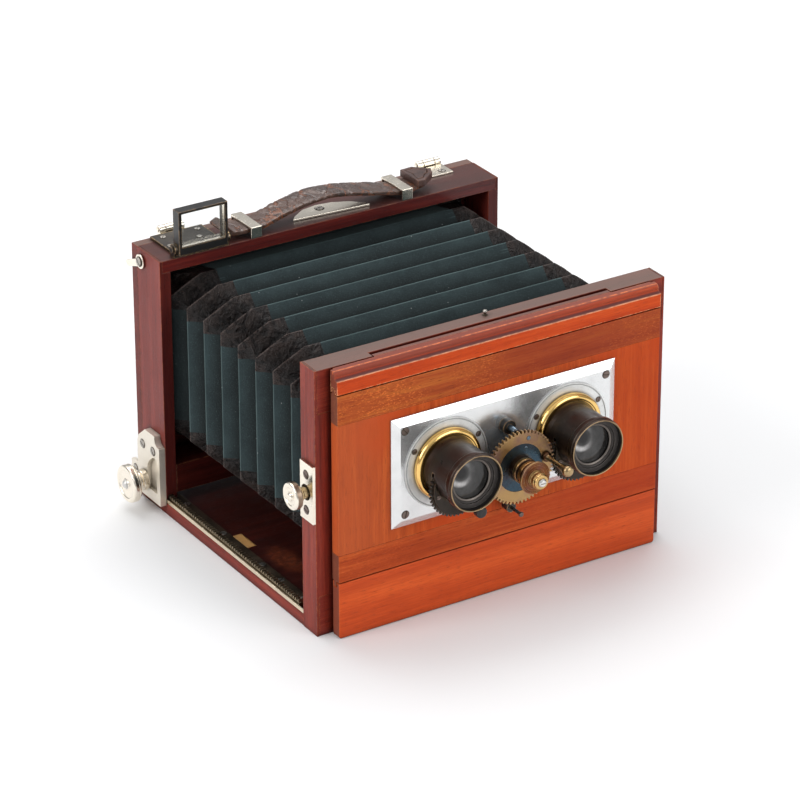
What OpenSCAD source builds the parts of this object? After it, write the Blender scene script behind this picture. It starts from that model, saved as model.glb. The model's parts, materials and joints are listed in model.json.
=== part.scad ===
// Stereo view camera: tailboard bed, rack-focused rear standard, bellows, rising and
// cross front, twin lenses with a geared rotary shutter.
// X to the right seen from the front, Y from the lenses to the back, Z up.
// The origin is the mouth of the tripod bush under the bed.

/* [Bodywork] */
// Width of the front frame and the rear standard
body_w = 230; // [200:1:260]
// Height of the front frame
front_h = 163; // [140:1:190]
// Depth of the front frame
front_d = 14.85; // [10:0.05:20]
// Front face of the rear standard, from the front frame's face
rear_y = 170.3; // [150:0.1:200]
// Rear face of the camera, from the front frame's face
back_y = 204; // [190:0.5:230]
// Height of the rear standard
rear_h = 162; // [140:1:190]
// Distance of the tripod bush from the front frame's face
bush_y = 100; // [60:1:140]

/* [Bed] */
// Thickness of the bed's floor panel
floor_t = 6; // [4:0.5:10]
// Height of the bed's side rails
rail_h = 7.5; // [5:0.5:12]
// Width of each bed side rail
rail_w = 11.3; // [10:0.1:25]
// Radius of the tripod thread
bush_r = 4.76; // [3:0.01:6]

/* [Front frame] */
// Width of the front frame's posts
post_w = 17; // [10:0.5:25]
// Height of the front frame's top rail
top_rail_h = 26; // [18:0.5:35]
// Height of the front frame's bottom rail
low_rail_h = 24.7; // [15:0.1:35]

/* [Rising front] */
// Half width of the front boards
board_x = 106.15; // [95:0.05:115]
// How far the front boards stand out of the frame
board_out = 9.1; // [6:0.1:14]
// Lower edge of the cornice
cornice_z = 150; // [140:0.5:158]
// Upper edge of the bottom board
low_board_z = 34.7; // [25:0.1:45]
// Half width of the sliding shield
shield_x = 77.5; // [60:0.5:90]

/* [Lens board] */
// Distance between the two lens axes
lens_sep = 80; // [60:1:95]
// Sideways place of the lens plate's centre
lens_cx = 1.1; // [-5:0.1:5]
// Height of the lens axes
lens_z = 93.5; // [80:0.5:105]
// Radius of the lens flanges
flange_r = 27; // [22:0.5:32]
// Radius of the lens barrels
barrel_r = 16; // [12:0.5:19]
// Front end of the barrels, ahead of the front frame's face
barrel_y = 44; // [36:0.5:52]

/* [Shutter gearing] */
// Module of every gear
gear_m = 0.8; // [0.6:0.05:1]
// Teeth on the central gear
main_teeth = 54; // [50:1:58]
// Teeth on each shutter disc
disc_teeth = 46; // [42:1:50]
// Height of the gear axes
gear_z = 85; // [75:0.5:95]

/* [Focusing] */
// Teeth on the focusing pinions
pinion_teeth = 14; // [12:1:18]
// Height of the racks' pitch line
rack_z = 11.6; // [10:0.1:14]
// Distance of the pinion shaft from the front frame's face
shaft_y = 188; // [180:0.5:195]
// Radius of the focusing knob
knob_r = 11.5; // [8:0.5:15]

/* [Bellows] */
// Half width of the bellows over its ridges
bellows_x = 106; // [90:0.5:107]
// Top of the bellows over its ridges
bellows_top = 146.5; // [130:0.5:152]
// Bottom of the bellows over its ridges
bellows_low = 38; // [32:0.5:50]
// Depth of the pleats
pleat_d = 10.5; // [6:0.5:14]
// Distance between two ridges
pleat_p = 19.3; // [12:0.1:25]

/* [Output] */
// Sub-part to build

/* [Hidden] */
$fn = 96;
e = 0.05;
hw = body_w / 2;
gap = 0.3;
pa = 20;
add_k = 0.8;
ded_k = 1.2;
lash = 0.14;
lens_xs = [lens_cx - lens_sep / 2, lens_cx + lens_sep / 2];
main_rp = gear_m * main_teeth / 2;
disc_rp = gear_m * disc_teeth / 2;
pin_rp = gear_m * pinion_teeth / 2;
shaft_z = rack_z + pin_rp;
bed_x = hw - 0.2;
floor_x = bed_x - rail_w;
frame_in_x = hw - post_w;
strip_t = 1.2;
rack_x0 = 110.5;
rack_x1 = 113.4;
edge_x0 = 113.6;
edge_top = 10;
lap_t = 1.5;
rear_in_x = 108;
rear_lip_y = 194;
back_t0 = 197.3;
split_y = 197;
cheek_r = 17.2;
plate_y = 12.4;
flange_y = 13.2;
ring_y = 17.2;
tube_y = 15;
tube_r = 16.4;
tube_in_r = 13.2;
case_y = 22.6;
cheek_y = 24.0;
front_cheek_y = 26.0;
case_end_y = 27.5;
arbor_r = 2.5;
hinge_y = 206;
hinge_z = 164.4;
finder_y = 171.8;
finder_z = 167.2;
top_z = rear_h;

// ---- helpers: placing and solids ----
module set_down() translate([0, -bush_y, 0]) children();
module box(x0, x1, y0, y1, z0, z1)
    translate([x0, y0, z0]) cube([x1 - x0, y1 - y0, z1 - z0]);
module cyl_x(r, x0, x1, y, z)
    translate([x0, y, z]) rotate([0, 90, 0]) cylinder(h = x1 - x0, r = r);
module cyl_y(r, y0, y1, x, z)
    translate([x, y0, z]) rotate([-90, 0, 0]) cylinder(h = y1 - y0, r = r);
module cyl_z(r, z0, z1, x, y)
    translate([x, y, z0]) cylinder(h = z1 - z0, r = r);
// section [y, z] swept along X
module prism_x(pts, x0, x1)
    translate([x0, 0, 0]) rotate([90, 0, 90]) linear_extrude(height = x1 - x0) polygon(pts);
// section [x, z] swept along Y
module prism_y(pts, y0, y1)
    translate([0, y1, 0]) rotate([90, 0, 0]) linear_extrude(height = y1 - y0) polygon(pts);
// section [x, y] swept along Z
module prism_z(pts, z0, z1)
    translate([0, 0, z0]) linear_extrude(height = z1 - z0) polygon(pts);
// section [r, forward] turned about an axis along Y
module turn_y(pts, x, z)
    translate([x, 0, z]) rotate([90, 0, 0]) rotate_extrude() polygon(pts);
// section [r, outward] turned about an axis along X, outward to the left
module turn_x(pts, y, z)
    translate([0, y, z]) rotate([0, -90, 0]) rotate_extrude() polygon(pts);
module mirrored() { children(); mirror([1, 0, 0]) children(); }
function arc(cx, cy, r, a0, a1, n) =
    [for (i = [0:n]) let (a = a0 + (a1 - a0) * i / n) [cx + r * cos(a), cy + r * sin(a)]];
// slotted screw heads, facing up, forward and left
module head(r, h, turn = 30)
    difference() {
        cylinder(h = h, r = r);
        rotate([0, 0, turn]) translate([-1.5 * r, -r * 0.13, h * 0.45]) cube([3 * r, r * 0.26, h]);
    }
module head_up(x, y, z, r, h, t = 30) translate([x, y, z]) head(r, h, t);
module head_front(x, y, z, r, h, t = 30) translate([x, y, z]) rotate([90, 0, 0]) head(r, h, t);
module head_left(x, y, z, r, h, t = 30) translate([x, y, z]) rotate([0, -90, 0]) head(r, h, t);

// ---- helpers: involute teeth ----
function inv_deg(a) = tan(a) * 180 / PI - a;
function half_deg(r, n) =
    let (rp = gear_m * n / 2, rb = rp * cos(pa), rr = max(r, rb + 0.0001))
    (PI * gear_m / 2 - lash) / 2 / rp * 180 / PI + inv_deg(pa) - inv_deg(acos(rb / rr));
function gear_pts(n, cx, cy, turn) =
    let (rp = gear_m * n / 2, ra = rp + add_k * gear_m, rf = rp - ded_k * gear_m)
    [for (i = [0:n - 1]) for (s = [-1, 1]) for (k = [0:2])
        let (t = s < 0 ? k / 2 : 1 - k / 2, r = rf + (ra - rf) * t,
             a = turn + 360 * i / n + s * half_deg(r, n))
        [cx + r * cos(a), cy + r * sin(a)]];

// ---- bed ----
module bed_floor() color([0.28, 0.09, 0.06]) set_down()
    difference() {
        box(-floor_x, floor_x, front_d, back_y, 0, floor_t);
        cyl_z(8.05, -1, floor_t + 1, 0, bush_y);
    }
module bed_rail() box(floor_x, bed_x, front_d, back_y, 0, rail_h);
module bed_rail_left() color([0.45, 0.16, 0.1]) set_down() mirror([1, 0, 0]) bed_rail();
module bed_rail_right() color([0.45, 0.16, 0.1]) set_down() bed_rail();
module tripod_bush() color([0.75, 0.6, 0.3])
    difference() {
        union() {
            cylinder(h = floor_t, r = 8);
            translate([0, 0, floor_t]) cylinder(h = strip_t, r = 11);
        }
        translate([0, 0, -1]) cylinder(h = floor_t + strip_t + 2, r = bush_r);
    }
rack_n = 72;
rack_pitch = PI * gear_m;
rack_half = (PI * gear_m / 2 - lash) / 2;
rack_tip = rack_z + add_k * gear_m;
rack_root = rack_z - ded_k * gear_m;
rack_end = shaft_y + rack_pitch * 6;
rack_start = rack_end - rack_n * rack_pitch;
function rack_pts() = concat(
    [[rack_end, rail_h], [rack_end, rack_root]],
    [for (i = [0:rack_n - 1]) for (k = [0:3])
        let (c = rack_end - (i + 0.5) * rack_pitch,
             w = k == 0 || k == 3 ? rack_half + ded_k * gear_m * tan(pa)
                                  : rack_half - add_k * gear_m * tan(pa))
        [c + (k < 2 ? w : -w), k == 1 || k == 2 ? rack_tip : rack_root]],
    [[rack_start, rack_root], [rack_start, rail_h]]);
module rack() prism_x(rack_pts(), rack_x0, rack_x1);
module rack_left() color([0.8, 0.66, 0.35]) set_down() mirror([1, 0, 0]) rack();
module rack_right() color([0.8, 0.66, 0.35]) set_down() rack();
module edge_strips() color([0.85, 0.68, 0.35]) set_down()
    mirrored() box(edge_x0, bed_x, front_d, back_y, rail_h, edge_top);
module base_strips() color([0.25, 0.19, 0.13]) set_down()
    mirrored() box(floor_x, rack_x0 - 0.2, front_d, back_y, rail_h, rail_h + strip_t);
strip_screw_ys = [28.5, 53.4, 74.5, 118.9, 161.5];
module bed_screws() color([0.5, 0.47, 0.42]) set_down() {
    for (y = strip_screw_ys) for (s = [-1, 1])
        head_up(s * 106.4, y, rail_h + strip_t, 2, 0.24, 20 + y);
    head_left(-hw - 1.8, 7, 98.6, 2.4, 0.5, 60);
    head_left(-hw - 1.8, 7, 77, 2.4, 0.5, 70);
    translate([1.6, 11.2, front_h]) rotate_extrude()
        polygon([[0, 0], [1.5, 0], [1.5, 0.4], [0.8, 0.6], [0.8, 1.5], [1.4, 2], [1.4, 2.6],
            [0.9, 3.1], [0, 3.2]]);
}

// ---- front frame ----
module front_post() {
    box(frame_in_x, hw, 0, front_d, low_rail_h, front_h - top_rail_h);
    box(hw - lap_t, hw, 0, front_d, 0, front_h);
}
clamp_y = 7.5;
clamp_z = 87.6;
module front_post_left() color([0.45, 0.15, 0.1]) set_down()
    difference() {
        mirror([1, 0, 0]) front_post();
        cyl_x(3.5, -hw - 1, -hw + 9, clamp_y, clamp_z);
    }
module front_post_right() color([0.45, 0.15, 0.1]) set_down() front_post();
module front_rail_top() color([0.45, 0.15, 0.1]) set_down()
    difference() {
        box(-hw + lap_t, hw - lap_t, 0, front_d, front_h - top_rail_h, front_h);
        box(-shield_x - 0.5, shield_x + 0.5, -1, 2.8, front_h - top_rail_h - 1, front_h + 1);
        box(-shield_x - 0.5, shield_x + 0.5, -1, 5, front_h - 3.4, front_h + 1);
    }
module front_rail_bottom() color([0.45, 0.15, 0.1]) set_down()
    box(-hw + lap_t, hw - lap_t, 0, front_d, 0, low_rail_h);
module clamp_plate() color([0.85, 0.83, 0.78]) set_down()
    difference() {
        box(-hw - 1.8, -hw, 0, 13.4, 70.5, 105.5);
        cyl_x(4.7, -hw - 3, -hw + 1, clamp_y, clamp_z);
    }
module clamp_knob() color([0.85, 0.83, 0.78]) set_down()
    turn_x([[0, hw - 8], [3.42, hw - 8], [3.42, hw + 6], [4.6, hw + 6.6], [4.6, hw + 7.2],
        [7.4, hw + 7.6], [8, hw + 8.2], [8, hw + 11], [7.4, hw + 11.8], [2.6, hw + 12],
        [2.2, hw + 12.7], [0, hw + 13]], clamp_y, clamp_z);

// ---- rising front ----
module front_shield() color([0.1, 0.08, 0.07]) set_down()
    difference() {
        box(-shield_x, shield_x, -gap, 2.4, 26, front_h - 0.1);
        box(-67, 67, -1, 4, 62, 127);
    }
groove_y0 = -6.5;
groove_y1 = -3.5;
rebate_x = board_x - 2.2;
ledge_z = 158.3;
nose_z = front_h - 0.2;
low_r = 1.5;
module front_cornice() color([0.62, 0.24, 0.13]) set_down()
    difference() {
        prism_x(concat([[-gap, cornice_z], [-gap, nose_z]],
            arc(-4.3, nose_z - 2.2, 2.2, 90, 190, 8), arc(-8.3, ledge_z + 1.9, 1.9, 0, -90, 7),
            [[-board_out, ledge_z - 0.4], [-board_out, cornice_z]]), -board_x, board_x);
        box(-board_x - 1, board_x + 1, groove_y0, groove_y1, cornice_z - 1, cornice_z + 3);
        mirrored() box(rebate_x, board_x + 1, -2.2, 1, cornice_z - 1, front_h + 1);
        mirrored() box(shield_x, board_x + 1, -1, 1, nose_z - 1.6, front_h + 1);
    }
module front_bottom_board() color([0.55, 0.18, 0.09]) set_down()
    difference() {
        prism_y(concat([[-board_x, low_board_z]],
            arc(-board_x + low_r, low_r + 0.2, low_r, 180, 270, 5),
            arc(board_x - low_r, low_r + 0.2, low_r, 270, 360, 5), [[board_x, low_board_z]]),
            -board_out, -gap);
        box(-board_x - 1, board_x + 1, groove_y0, groove_y1, low_board_z - 3, low_board_z + 1);
        mirrored() box(rebate_x, board_x + 1, -2.2, 1, -1, low_board_z + 1);
    }

// ---- lens board ----
panel_y1 = -0.6;
panel_z0 = 52;
panel_z1 = 131.5;
module panel_sides(z0, z1) mirrored() box(rebate_x, board_x + 1, -2.2, 1, z0 - 5, z1 + 5);
module lens_panel() color([0.72, 0.33, 0.16]) set_down()
    difference() {
        box(-board_x, board_x, -board_out, panel_y1, panel_z0, panel_z1);
        for (x = lens_xs) cyl_y(14.1, -board_out - 1, 1, x, lens_z);
        panel_sides(panel_z0, panel_z1);
    }
module panel_batten_top() color([0.8, 0.48, 0.2]) set_down()
    difference() {
        union() {
            box(-board_x, board_x, -board_out, panel_y1, panel_z1, cornice_z - 0.7);
            box(-board_x, board_x, groove_y0 + gap, groove_y1 - gap, cornice_z - 1, cornice_z + 2.6);
        }
        panel_sides(panel_z1, cornice_z);
    }
module panel_batten_bottom() color([0.8, 0.48, 0.2]) set_down()
    difference() {
        union() {
            box(-board_x, board_x, -board_out, panel_y1, low_board_z + 0.6, panel_z0);
            box(-board_x, board_x, groove_y0 + gap, groove_y1 - gap,
                low_board_z - 2.7, low_board_z + 1);
        }
        panel_sides(low_board_z, panel_z0);
    }
lp_x0 = lens_cx - 73.8;
lp_x1 = lens_cx + 73.8;
lp_z0 = 59.7;
lp_z1 = 126.5;
lp_b = 4.6;
module lens_plate() color([0.82, 0.83, 0.84]) set_down()
    difference() {
        intersection() {
            prism_z([[lp_x0, -board_out], [lp_x0, -board_out - 0.8], [lp_x0 + lp_b, -plate_y],
                [lp_x1 - lp_b, -plate_y], [lp_x1, -board_out - 0.8], [lp_x1, -board_out]],
                lp_z0, lp_z1);
            prism_x([[-board_out, lp_z0], [-board_out, lp_z1], [-board_out - 0.8, lp_z1],
                [-plate_y, lp_z1 - lp_b], [-plate_y, lp_z0 + lp_b], [-board_out - 0.8, lp_z0]],
                lp_x0, lp_x1);
        }
        for (x = lens_xs) cyl_y(14.1, -plate_y - 1, 1, x, lens_z);
    }
// three screws per flange, one per shutter case, four in the plate, one milled-head screw
module lens_screws() color([0.6, 0.58, 0.53]) set_down() {
    for (sx = [-1, 1]) for (z = [68, 119.2])
        head_front(lens_cx + sx * 66.3, -plate_y, z, 2.2, 0.7, 30 + sx * 20 + z);
    for (x = lens_xs) {
        for (a = [30, 150, 270])
            head_front(x + 24 * cos(a), -flange_y, lens_z + 24 * sin(a), 1.5, 0.5, a + 40);
        head_front(x - 14.2, -case_end_y, gear_z - 3, 1.3, 0.5, 10);
    }
    turn_y([[0, case_end_y], [1.5, case_end_y], [1.5, 33], [3.4, 33.4], [3.4, 37.4],
        [2.8, 38], [0, 38]], lens_xs[0] + 7.8, gear_z - 14.4);
}
module lens_flanges() color([0.85, 0.85, 0.85]) set_down()
    for (x = lens_xs)
        turn_y([[14.1, plate_y], [flange_r, plate_y], [flange_r, flange_y - 0.2],
            [flange_r - 0.3, flange_y], [14.1, flange_y]], x, lens_z);
module lens_rings() color([0.85, 0.66, 0.28]) set_down()
    for (x = lens_xs)
        turn_y([[10.8, -2], [14, -2], [14, flange_y], [21.8, flange_y], [22, flange_y + 0.8],
            [21.6, ring_y - 0.8], [20.6, ring_y - 0.1], [19.4, ring_y], [18.2, ring_y - 0.4],
            [17.3, ring_y - 1.4], [17.1, tube_y], [10.8, tube_y]], x, lens_z);
module shutter_cases() color([0.16, 0.14, 0.13]) set_down()
    for (x = lens_xs) difference() {
        union() {
            cyl_y(cheek_r, -cheek_y, -case_y, x, gear_z);
            cyl_y(cheek_r, -case_end_y, -front_cheek_y, x, gear_z);
        }
        cyl_y(tube_r + 0.02, -case_end_y - 1, -case_y + 1, x, lens_z);
    }
// the tube is slotted for the shutter disc, between two inner plates that carry its arbor
module barrel(x) {
    difference() {
        union() {
            turn_y([[tube_in_r, tube_y], [tube_r, tube_y], [tube_r, case_end_y + 0.5],
                [barrel_r + 0.1, barrel_y - 6.4], [barrel_r + 1.2, barrel_y - 5.6],
                [barrel_r + 1.3, barrel_y - 2.4], [barrel_r + 0.9, barrel_y - 0.7],
                [barrel_r + 0.6, barrel_y], [barrel_r, barrel_y], [15.8, barrel_y - 3.6],
                [13.6, barrel_y - 4], [13.4, barrel_y - 4.8], [12.3, barrel_y - 5.2],
                [12.3, 36], [10.5, 36], [10.5, 34.5], [tube_in_r, 34]], x, lens_z);
            cyl_y(tube_in_r + e, -cheek_y, -case_y, x, lens_z);
            cyl_y(tube_in_r + e, -case_end_y, -front_cheek_y, x, lens_z);
        }
        cyl_y(19.6, -front_cheek_y, -cheek_y, x, gear_z);
        cyl_y(6.9, -case_end_y - 1, -case_y + 1, x, lens_z);
    }
    cyl_y(1.5, -front_cheek_y - e, -cheek_y + e, x, gear_z);
}
module barrel_left() color([0.2, 0.15, 0.1]) set_down() barrel(lens_xs[0]);
module barrel_right() color([0.2, 0.15, 0.1]) set_down() barrel(lens_xs[1]);
module lens_glasses() color([0.5, 0.6, 0.65, 0.6]) set_down()
    for (x = lens_xs) turn_y([[0, 36], [12.2, 36], [12.2, 36.8], [10, 37.5], [7, 38.1],
        [3.6, 38.45], [0, 38.55]], x, lens_z);
bridge_top = 92;
bridge_low = 67;
post_z = 106;
release_z = 56.3;
module gear_bridge() color([0.1, 0.1, 0.1]) set_down()
    difference() {
        union() {
            box(lens_cx - 5.5, lens_cx + 5.5, -15.4, -plate_y, bridge_low, bridge_top);
            cyl_y(6, -23.9, -15.4 + e, lens_cx, gear_z);
            cyl_y(arbor_r, -44, -23.9 + e, lens_cx, gear_z);
            cyl_y(4.2, -16.8, -plate_y, lens_cx - 1, post_z);
            cyl_y(1.7, -23.4, -16.8 + e, lens_cx - 1, post_z);
            cyl_y(3, -18, -plate_y, lens_cx, release_z);
        }
        cyl_y(1.05, -19, -plate_y - 0.3, lens_cx, release_z);
    }

// ---- shutter gear ----
gear_y0 = 24.2;
gear_y1 = 26.7;
drum_y0 = 26.4;
module main_gear() color([0.6, 0.45, 0.28]) set_down()
    difference() {
        prism_y(gear_pts(main_teeth, lens_cx, gear_z, 0), -gear_y1, -gear_y0);
        cyl_y(14.5, -gear_y1 - 1, -gear_y0 + 1, lens_cx, gear_z);
    }
rivet_r = 11.4;
module gear_disc() color([0.18, 0.38, 0.5]) set_down()
    difference() {
        union() {
            cyl_y(14.5, -drum_y0, -gear_y0 - 0.3, lens_cx, gear_z);
            for (a = [73, 193, 313])
                cyl_y(0.8, -drum_y0 - 0.35, -drum_y0 + e,
                    lens_cx + rivet_r * cos(a), gear_z + rivet_r * sin(a));
        }
        cyl_y(arbor_r + 0.05, -30, -20, lens_cx, gear_z);
    }
module gear_drum() color([0.5, 0.33, 0.2]) set_down()
    turn_y([[arbor_r + 0.05, drum_y0], [7.5, drum_y0], [7.5, 39.2], [8.2, 39.8], [9.6, 40.2],
        [9.6, 41.4], [9.2, 41.7], [4.7, 41.8], [4.5, 47.4], [4.0, 48], [0, 48],
        [0, 44.4], [arbor_r + 0.05, 44.4]], lens_cx, gear_z);
module drum_screw() color([0.7, 0.7, 0.7]) set_down()
    difference() {
        turn_y([[0, 48], [2.5, 48], [2.5, 48.6], [1.8, 49.4], [0, 49.7]], lens_cx, gear_z);
        box(lens_cx - 3, lens_cx + 3, -50.5, -49.1, gear_z - 0.35, gear_z + 0.35);
    }
peg_x = 17.8;
peg_z = 87.7;
module crank_peg() color([0.7, 0.69, 0.66]) set_down()
    turn_y([[0, gear_y1], [2.9, gear_y1], [2.9, 28.6], [1.7, 29.4], [1.3, 33], [1.4, 42],
        [2.4, 45.4], [3.3, 47.6], [3.3, 49], [2.2, 50.3], [0, 50.7]], peg_x, peg_z);
module shutter_disc(x) difference() {
    prism_y(gear_pts(disc_teeth, x, gear_z, 180 / disc_teeth), -25.7, -24.3);
    cyl_y(1.55, -27, -23, x, gear_z);
    cyl_y(6.2, -27, -23, x, lens_z);
}
module shutter_disc_left() color([0.55, 0.42, 0.3]) set_down() shutter_disc(lens_xs[0]);
module shutter_disc_right() color([0.55, 0.42, 0.3]) set_down() shutter_disc(lens_xs[1]);
module release_plunger() color([0.75, 0.75, 0.73]) set_down()
    turn_y([[0, 16], [1, 16], [1, 27], [1.5, 27.3], [1.5, 28.2], [1, 28.6], [0, 28.6]],
        lens_cx, release_z);

// ---- rear standard ----
foot_z = 9;
post_top = rear_h - 7.5;
module rear_post() difference() {
    union() {
        box(rear_in_x, hw, rear_y, split_y, foot_z, post_top);
        box(hw - lap_t, hw, rear_y, split_y, foot_z, rear_h);
        box(rear_in_x - 8, rear_in_x + 1, rear_lip_y, split_y, 44, 141);
    }
    box(rack_x0 - 0.3, rack_x1 + 0.3, rear_y - 1, back_y, 0, rack_tip + 0.35);
    box(rack_x1 + 0.2, hw + 1, rear_y - 1, back_y, 0, edge_top + 0.3);
    box(rack_x0 - 0.3, hw + 1, rear_y + 3, split_y - 2.2, 0, 27);
    box(rear_in_x - 1, rack_x0, shaft_y - 2.6, shaft_y + 2.6, 0, shaft_z + 2.6);
}
module rear_post_left() color([0.5, 0.2, 0.14]) set_down() mirror([1, 0, 0]) rear_post();
module rear_post_right() color([0.5, 0.2, 0.14]) set_down() rear_post();
module rear_rail_top() color([0.5, 0.2, 0.14]) set_down() {
    box(-hw + lap_t, hw - lap_t, rear_y, split_y, post_top, rear_h);
    box(-rear_in_x, rear_in_x, rear_lip_y, split_y, 141, post_top + e);
}
module rear_rail_bottom() color([0.35, 0.1, 0.07]) set_down()
    prism_x([[rear_y, 13], [shaft_y - 2.6, 13], [shaft_y - 2.6, shaft_z + 2.6],
        [shaft_y + 2.6, shaft_z + 2.6], [shaft_y + 2.6, 13], [split_y, 13], [split_y, 44],
        [rear_lip_y, 44], [rear_lip_y, 31], [rear_y, 31]], -rear_in_x, rear_in_x);
bracket_t = 4;
module bracket() difference() {
    union() {
        prism_x([[170.6, 6.2], [170.6, 43.6], [172, 43.4], [187.3, 49.9], [195.3, 43.2],
            [196.8, 39], [196.8, 6.2]], hw, hw + bracket_t);
        prism_x(concat([[172, 43]], arc(171.3, 48.2, 4.6, -80, 15, 8), [[176, 49.9],
            [187.3, 49.9], [187.3, 43]]), hw, hw + bracket_t);
        prism_x([[196, 6.2], [208.4, 6.2], [208.4, 21.6], [206.8, 22.4], [196, 22.4]],
            hw, hw + 2);
    }
    prism_x([[174.2, 13], [174.2, 34.8], [176.4, 35.4], [179, 34.8], [182.4, 32],
        [184.9, 28.4], [185.6, 25], [185.6, 13]], hw + 1.4, hw + bracket_t + 1);
    cyl_x(2.05, hw - 1, hw + bracket_t + 1, shaft_y, shaft_z);
}
module bracket_left() color([0.85, 0.83, 0.78]) set_down() mirror([1, 0, 0]) bracket();
module bracket_right() color([0.85, 0.83, 0.78]) set_down() bracket();
hook_y = 191.8;
hook_z = 154.7;
base_t = 1.6;
module rear_screws() color([0.6, 0.57, 0.52]) set_down() {
    mirrored() {
        head_left(-hw - bracket_t, 190.3, 39.4, 2.5, 0.6, 65);
        head_left(-hw - bracket_t, 178, 39.4, 2.5, 0.6, 55);
        head_left(-hw - 2, 203.4, 17.3, 2.3, 0.6, 75);
    }
    head_up(90.5, 194.2, top_z + 1.2, 2.1, 0.5, 40);
    head_up(83.5, 198.2, top_z + 1.2, 1.6, 0.5, 80);
    for (p = [[-97.8, 197], [-100.2, 184.2], [-79.5, 187.4], [-75.2, 197.4]])
        head_up(p[0], p[1], top_z + base_t, 1.7, 0.5, p[1]);
    head_up(-0.6, 184.4, top_z + base_t, 2.6, 0.6, 15);
    cyl_x(1.5, -hw - 1.7, -hw, hook_y, hook_z);
    head_left(-hw - 1.7, hook_y, hook_z, 2.7, 0.8, 45);
}
ear_t = 1.7;
module finder_base() color([0.4, 0.4, 0.37]) set_down()
    difference() {
        union() {
            box(-103.6, -70, 170.5, 202, top_z, top_z + base_t);
            box(-105.4, -69.4, 170.5, 175.2, top_z, top_z + base_t);
            for (x = [-105.4, -71.1])
                prism_x(concat([[170.5, top_z + base_t - e]],
                    arc(finder_y, finder_z, 3.2, 200, -5, 12),
                    [[175.2, top_z + base_t - e]]), x, x + ear_t);
        }
        cyl_x(1.07, -110, -60, finder_y, finder_z);
        box(-96.3, -79.7, 189.7, 203, top_z - 1, top_z + 0.7);
    }
loop_top = 168.9;
module strap_loops() color([0.85, 0.83, 0.78]) set_down()
    for (x = [-54.4, 48]) {
        box(x, x + 7.2, 170.5, 194.6, loop_top - 1.4, loop_top);
        box(x, x + 7.2, 170.5, 172, top_z, loop_top - 1.4);
        box(x, x + 7.2, 193.1, 194.6, top_z, loop_top - 1.4);
    }
strap_t = 2.5;
// the strap's underside, as [x, z]
strap_low = [[-68.4, 168.4], [-65, 167], [-61, 165.6], [-56, 165], [-46.5, 165], [-40, 166.5],
    [-34, 168.1], [-28, 169.6], [-22, 171.0], [-15, 172.5],
    [-8, 173.5], [0, 173.7], [7, 173.1], [14, 172.0], [21, 170.7], [28, 169.2], [35, 167.7],
    [41, 166.3], [46, 165.3], [48, 165], [56, 165], [61, 165.3], [65, 165.8]];
module strap() color([0.35, 0.2, 0.12]) set_down() {
    prism_y(concat(strap_low, [for (i = [len(strap_low) - 1:-1:0])
        strap_low[i] + [0, strap_t]]), 173.2, 190.4);
    prism_y([[-68.4, 168.4], [-65, 167], [-65, 169.5], [-67.4, 170.9], [-69, 173.6],
        [-70.7, 172.6]], 176, 190.4);
    prism_z([[59, 171.5], [64, 171], [75.2, 180.5], [76, 184.5], [66, 191.8], [59, 191.5]],
        167.6, 172.0);
}
module keeper_plate() color([0.85, 0.83, 0.76]) set_down()
    prism_z([[-22, 178.4], [28, 174.6], [27, 177.4], [20, 184], [10, 188.6], [0, 190],
        [-10, 188.2], [-19, 182]], top_z, top_z + base_t);
// under_t is the leaf's thickness where it lies under another plate
module hinge_leaf(under_t) difference() {
    union() {
        box(80, 96, 190, 203.3, top_z, top_z + under_t);
        box(80, 96, 202.2, 203.3, top_z, top_z + 1.2);
        box(80, 84, 202.2, hinge_y, top_z, top_z + 1.2);
        box(92, 96, 202.2, hinge_y, top_z, top_z + 1.2);
        cyl_x(2.4, 80, 84, hinge_y, hinge_z);
        cyl_x(2.4, 92, 96, hinge_y, hinge_z);
    }
    cyl_x(1.26, 70, 100, hinge_y, hinge_z);
}
module hinge_leaves() color([0.85, 0.83, 0.76]) set_down() {
    hinge_leaf(1.2);
    mirror([1, 0, 0]) hinge_leaf(0.6);
}

// ---- focusing pinion ----
module pinion_shaft() color([0.78, 0.74, 0.62]) set_down() {
    cyl_x(2, -hw - 17, hw + bracket_t + 0.6, shaft_y, shaft_z);
    mirrored() difference() {
        prism_x(gear_pts(pinion_teeth, shaft_y, shaft_z, -90), rack_x0 + 0.1, rack_x1 - 0.1);
        cyl_x(1.9, 100, 120, shaft_y, shaft_z);
    }
}
module focus_knob() color([0.88, 0.86, 0.82]) set_down()
    turn_x([[2, hw + bracket_t + 0.3], [6.3, hw + bracket_t + 0.3], [6.3, hw + 8.2],
        [5.2, hw + 8.8], [5.2, hw + 11.8], [10.8, hw + 12.2], [knob_r, hw + 12.8],
        [knob_r, hw + 16.4], [knob_r - 0.8, hw + 17.2], [8.6, hw + 17.4], [8.2, hw + 16.9],
        [3.4, hw + 16.9], [2.6, hw + 17.6], [2.3, hw + 18.6], [0, hw + 19.0],
        [0, hw + 17], [2, hw + 17]], shaft_y, shaft_z);

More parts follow.
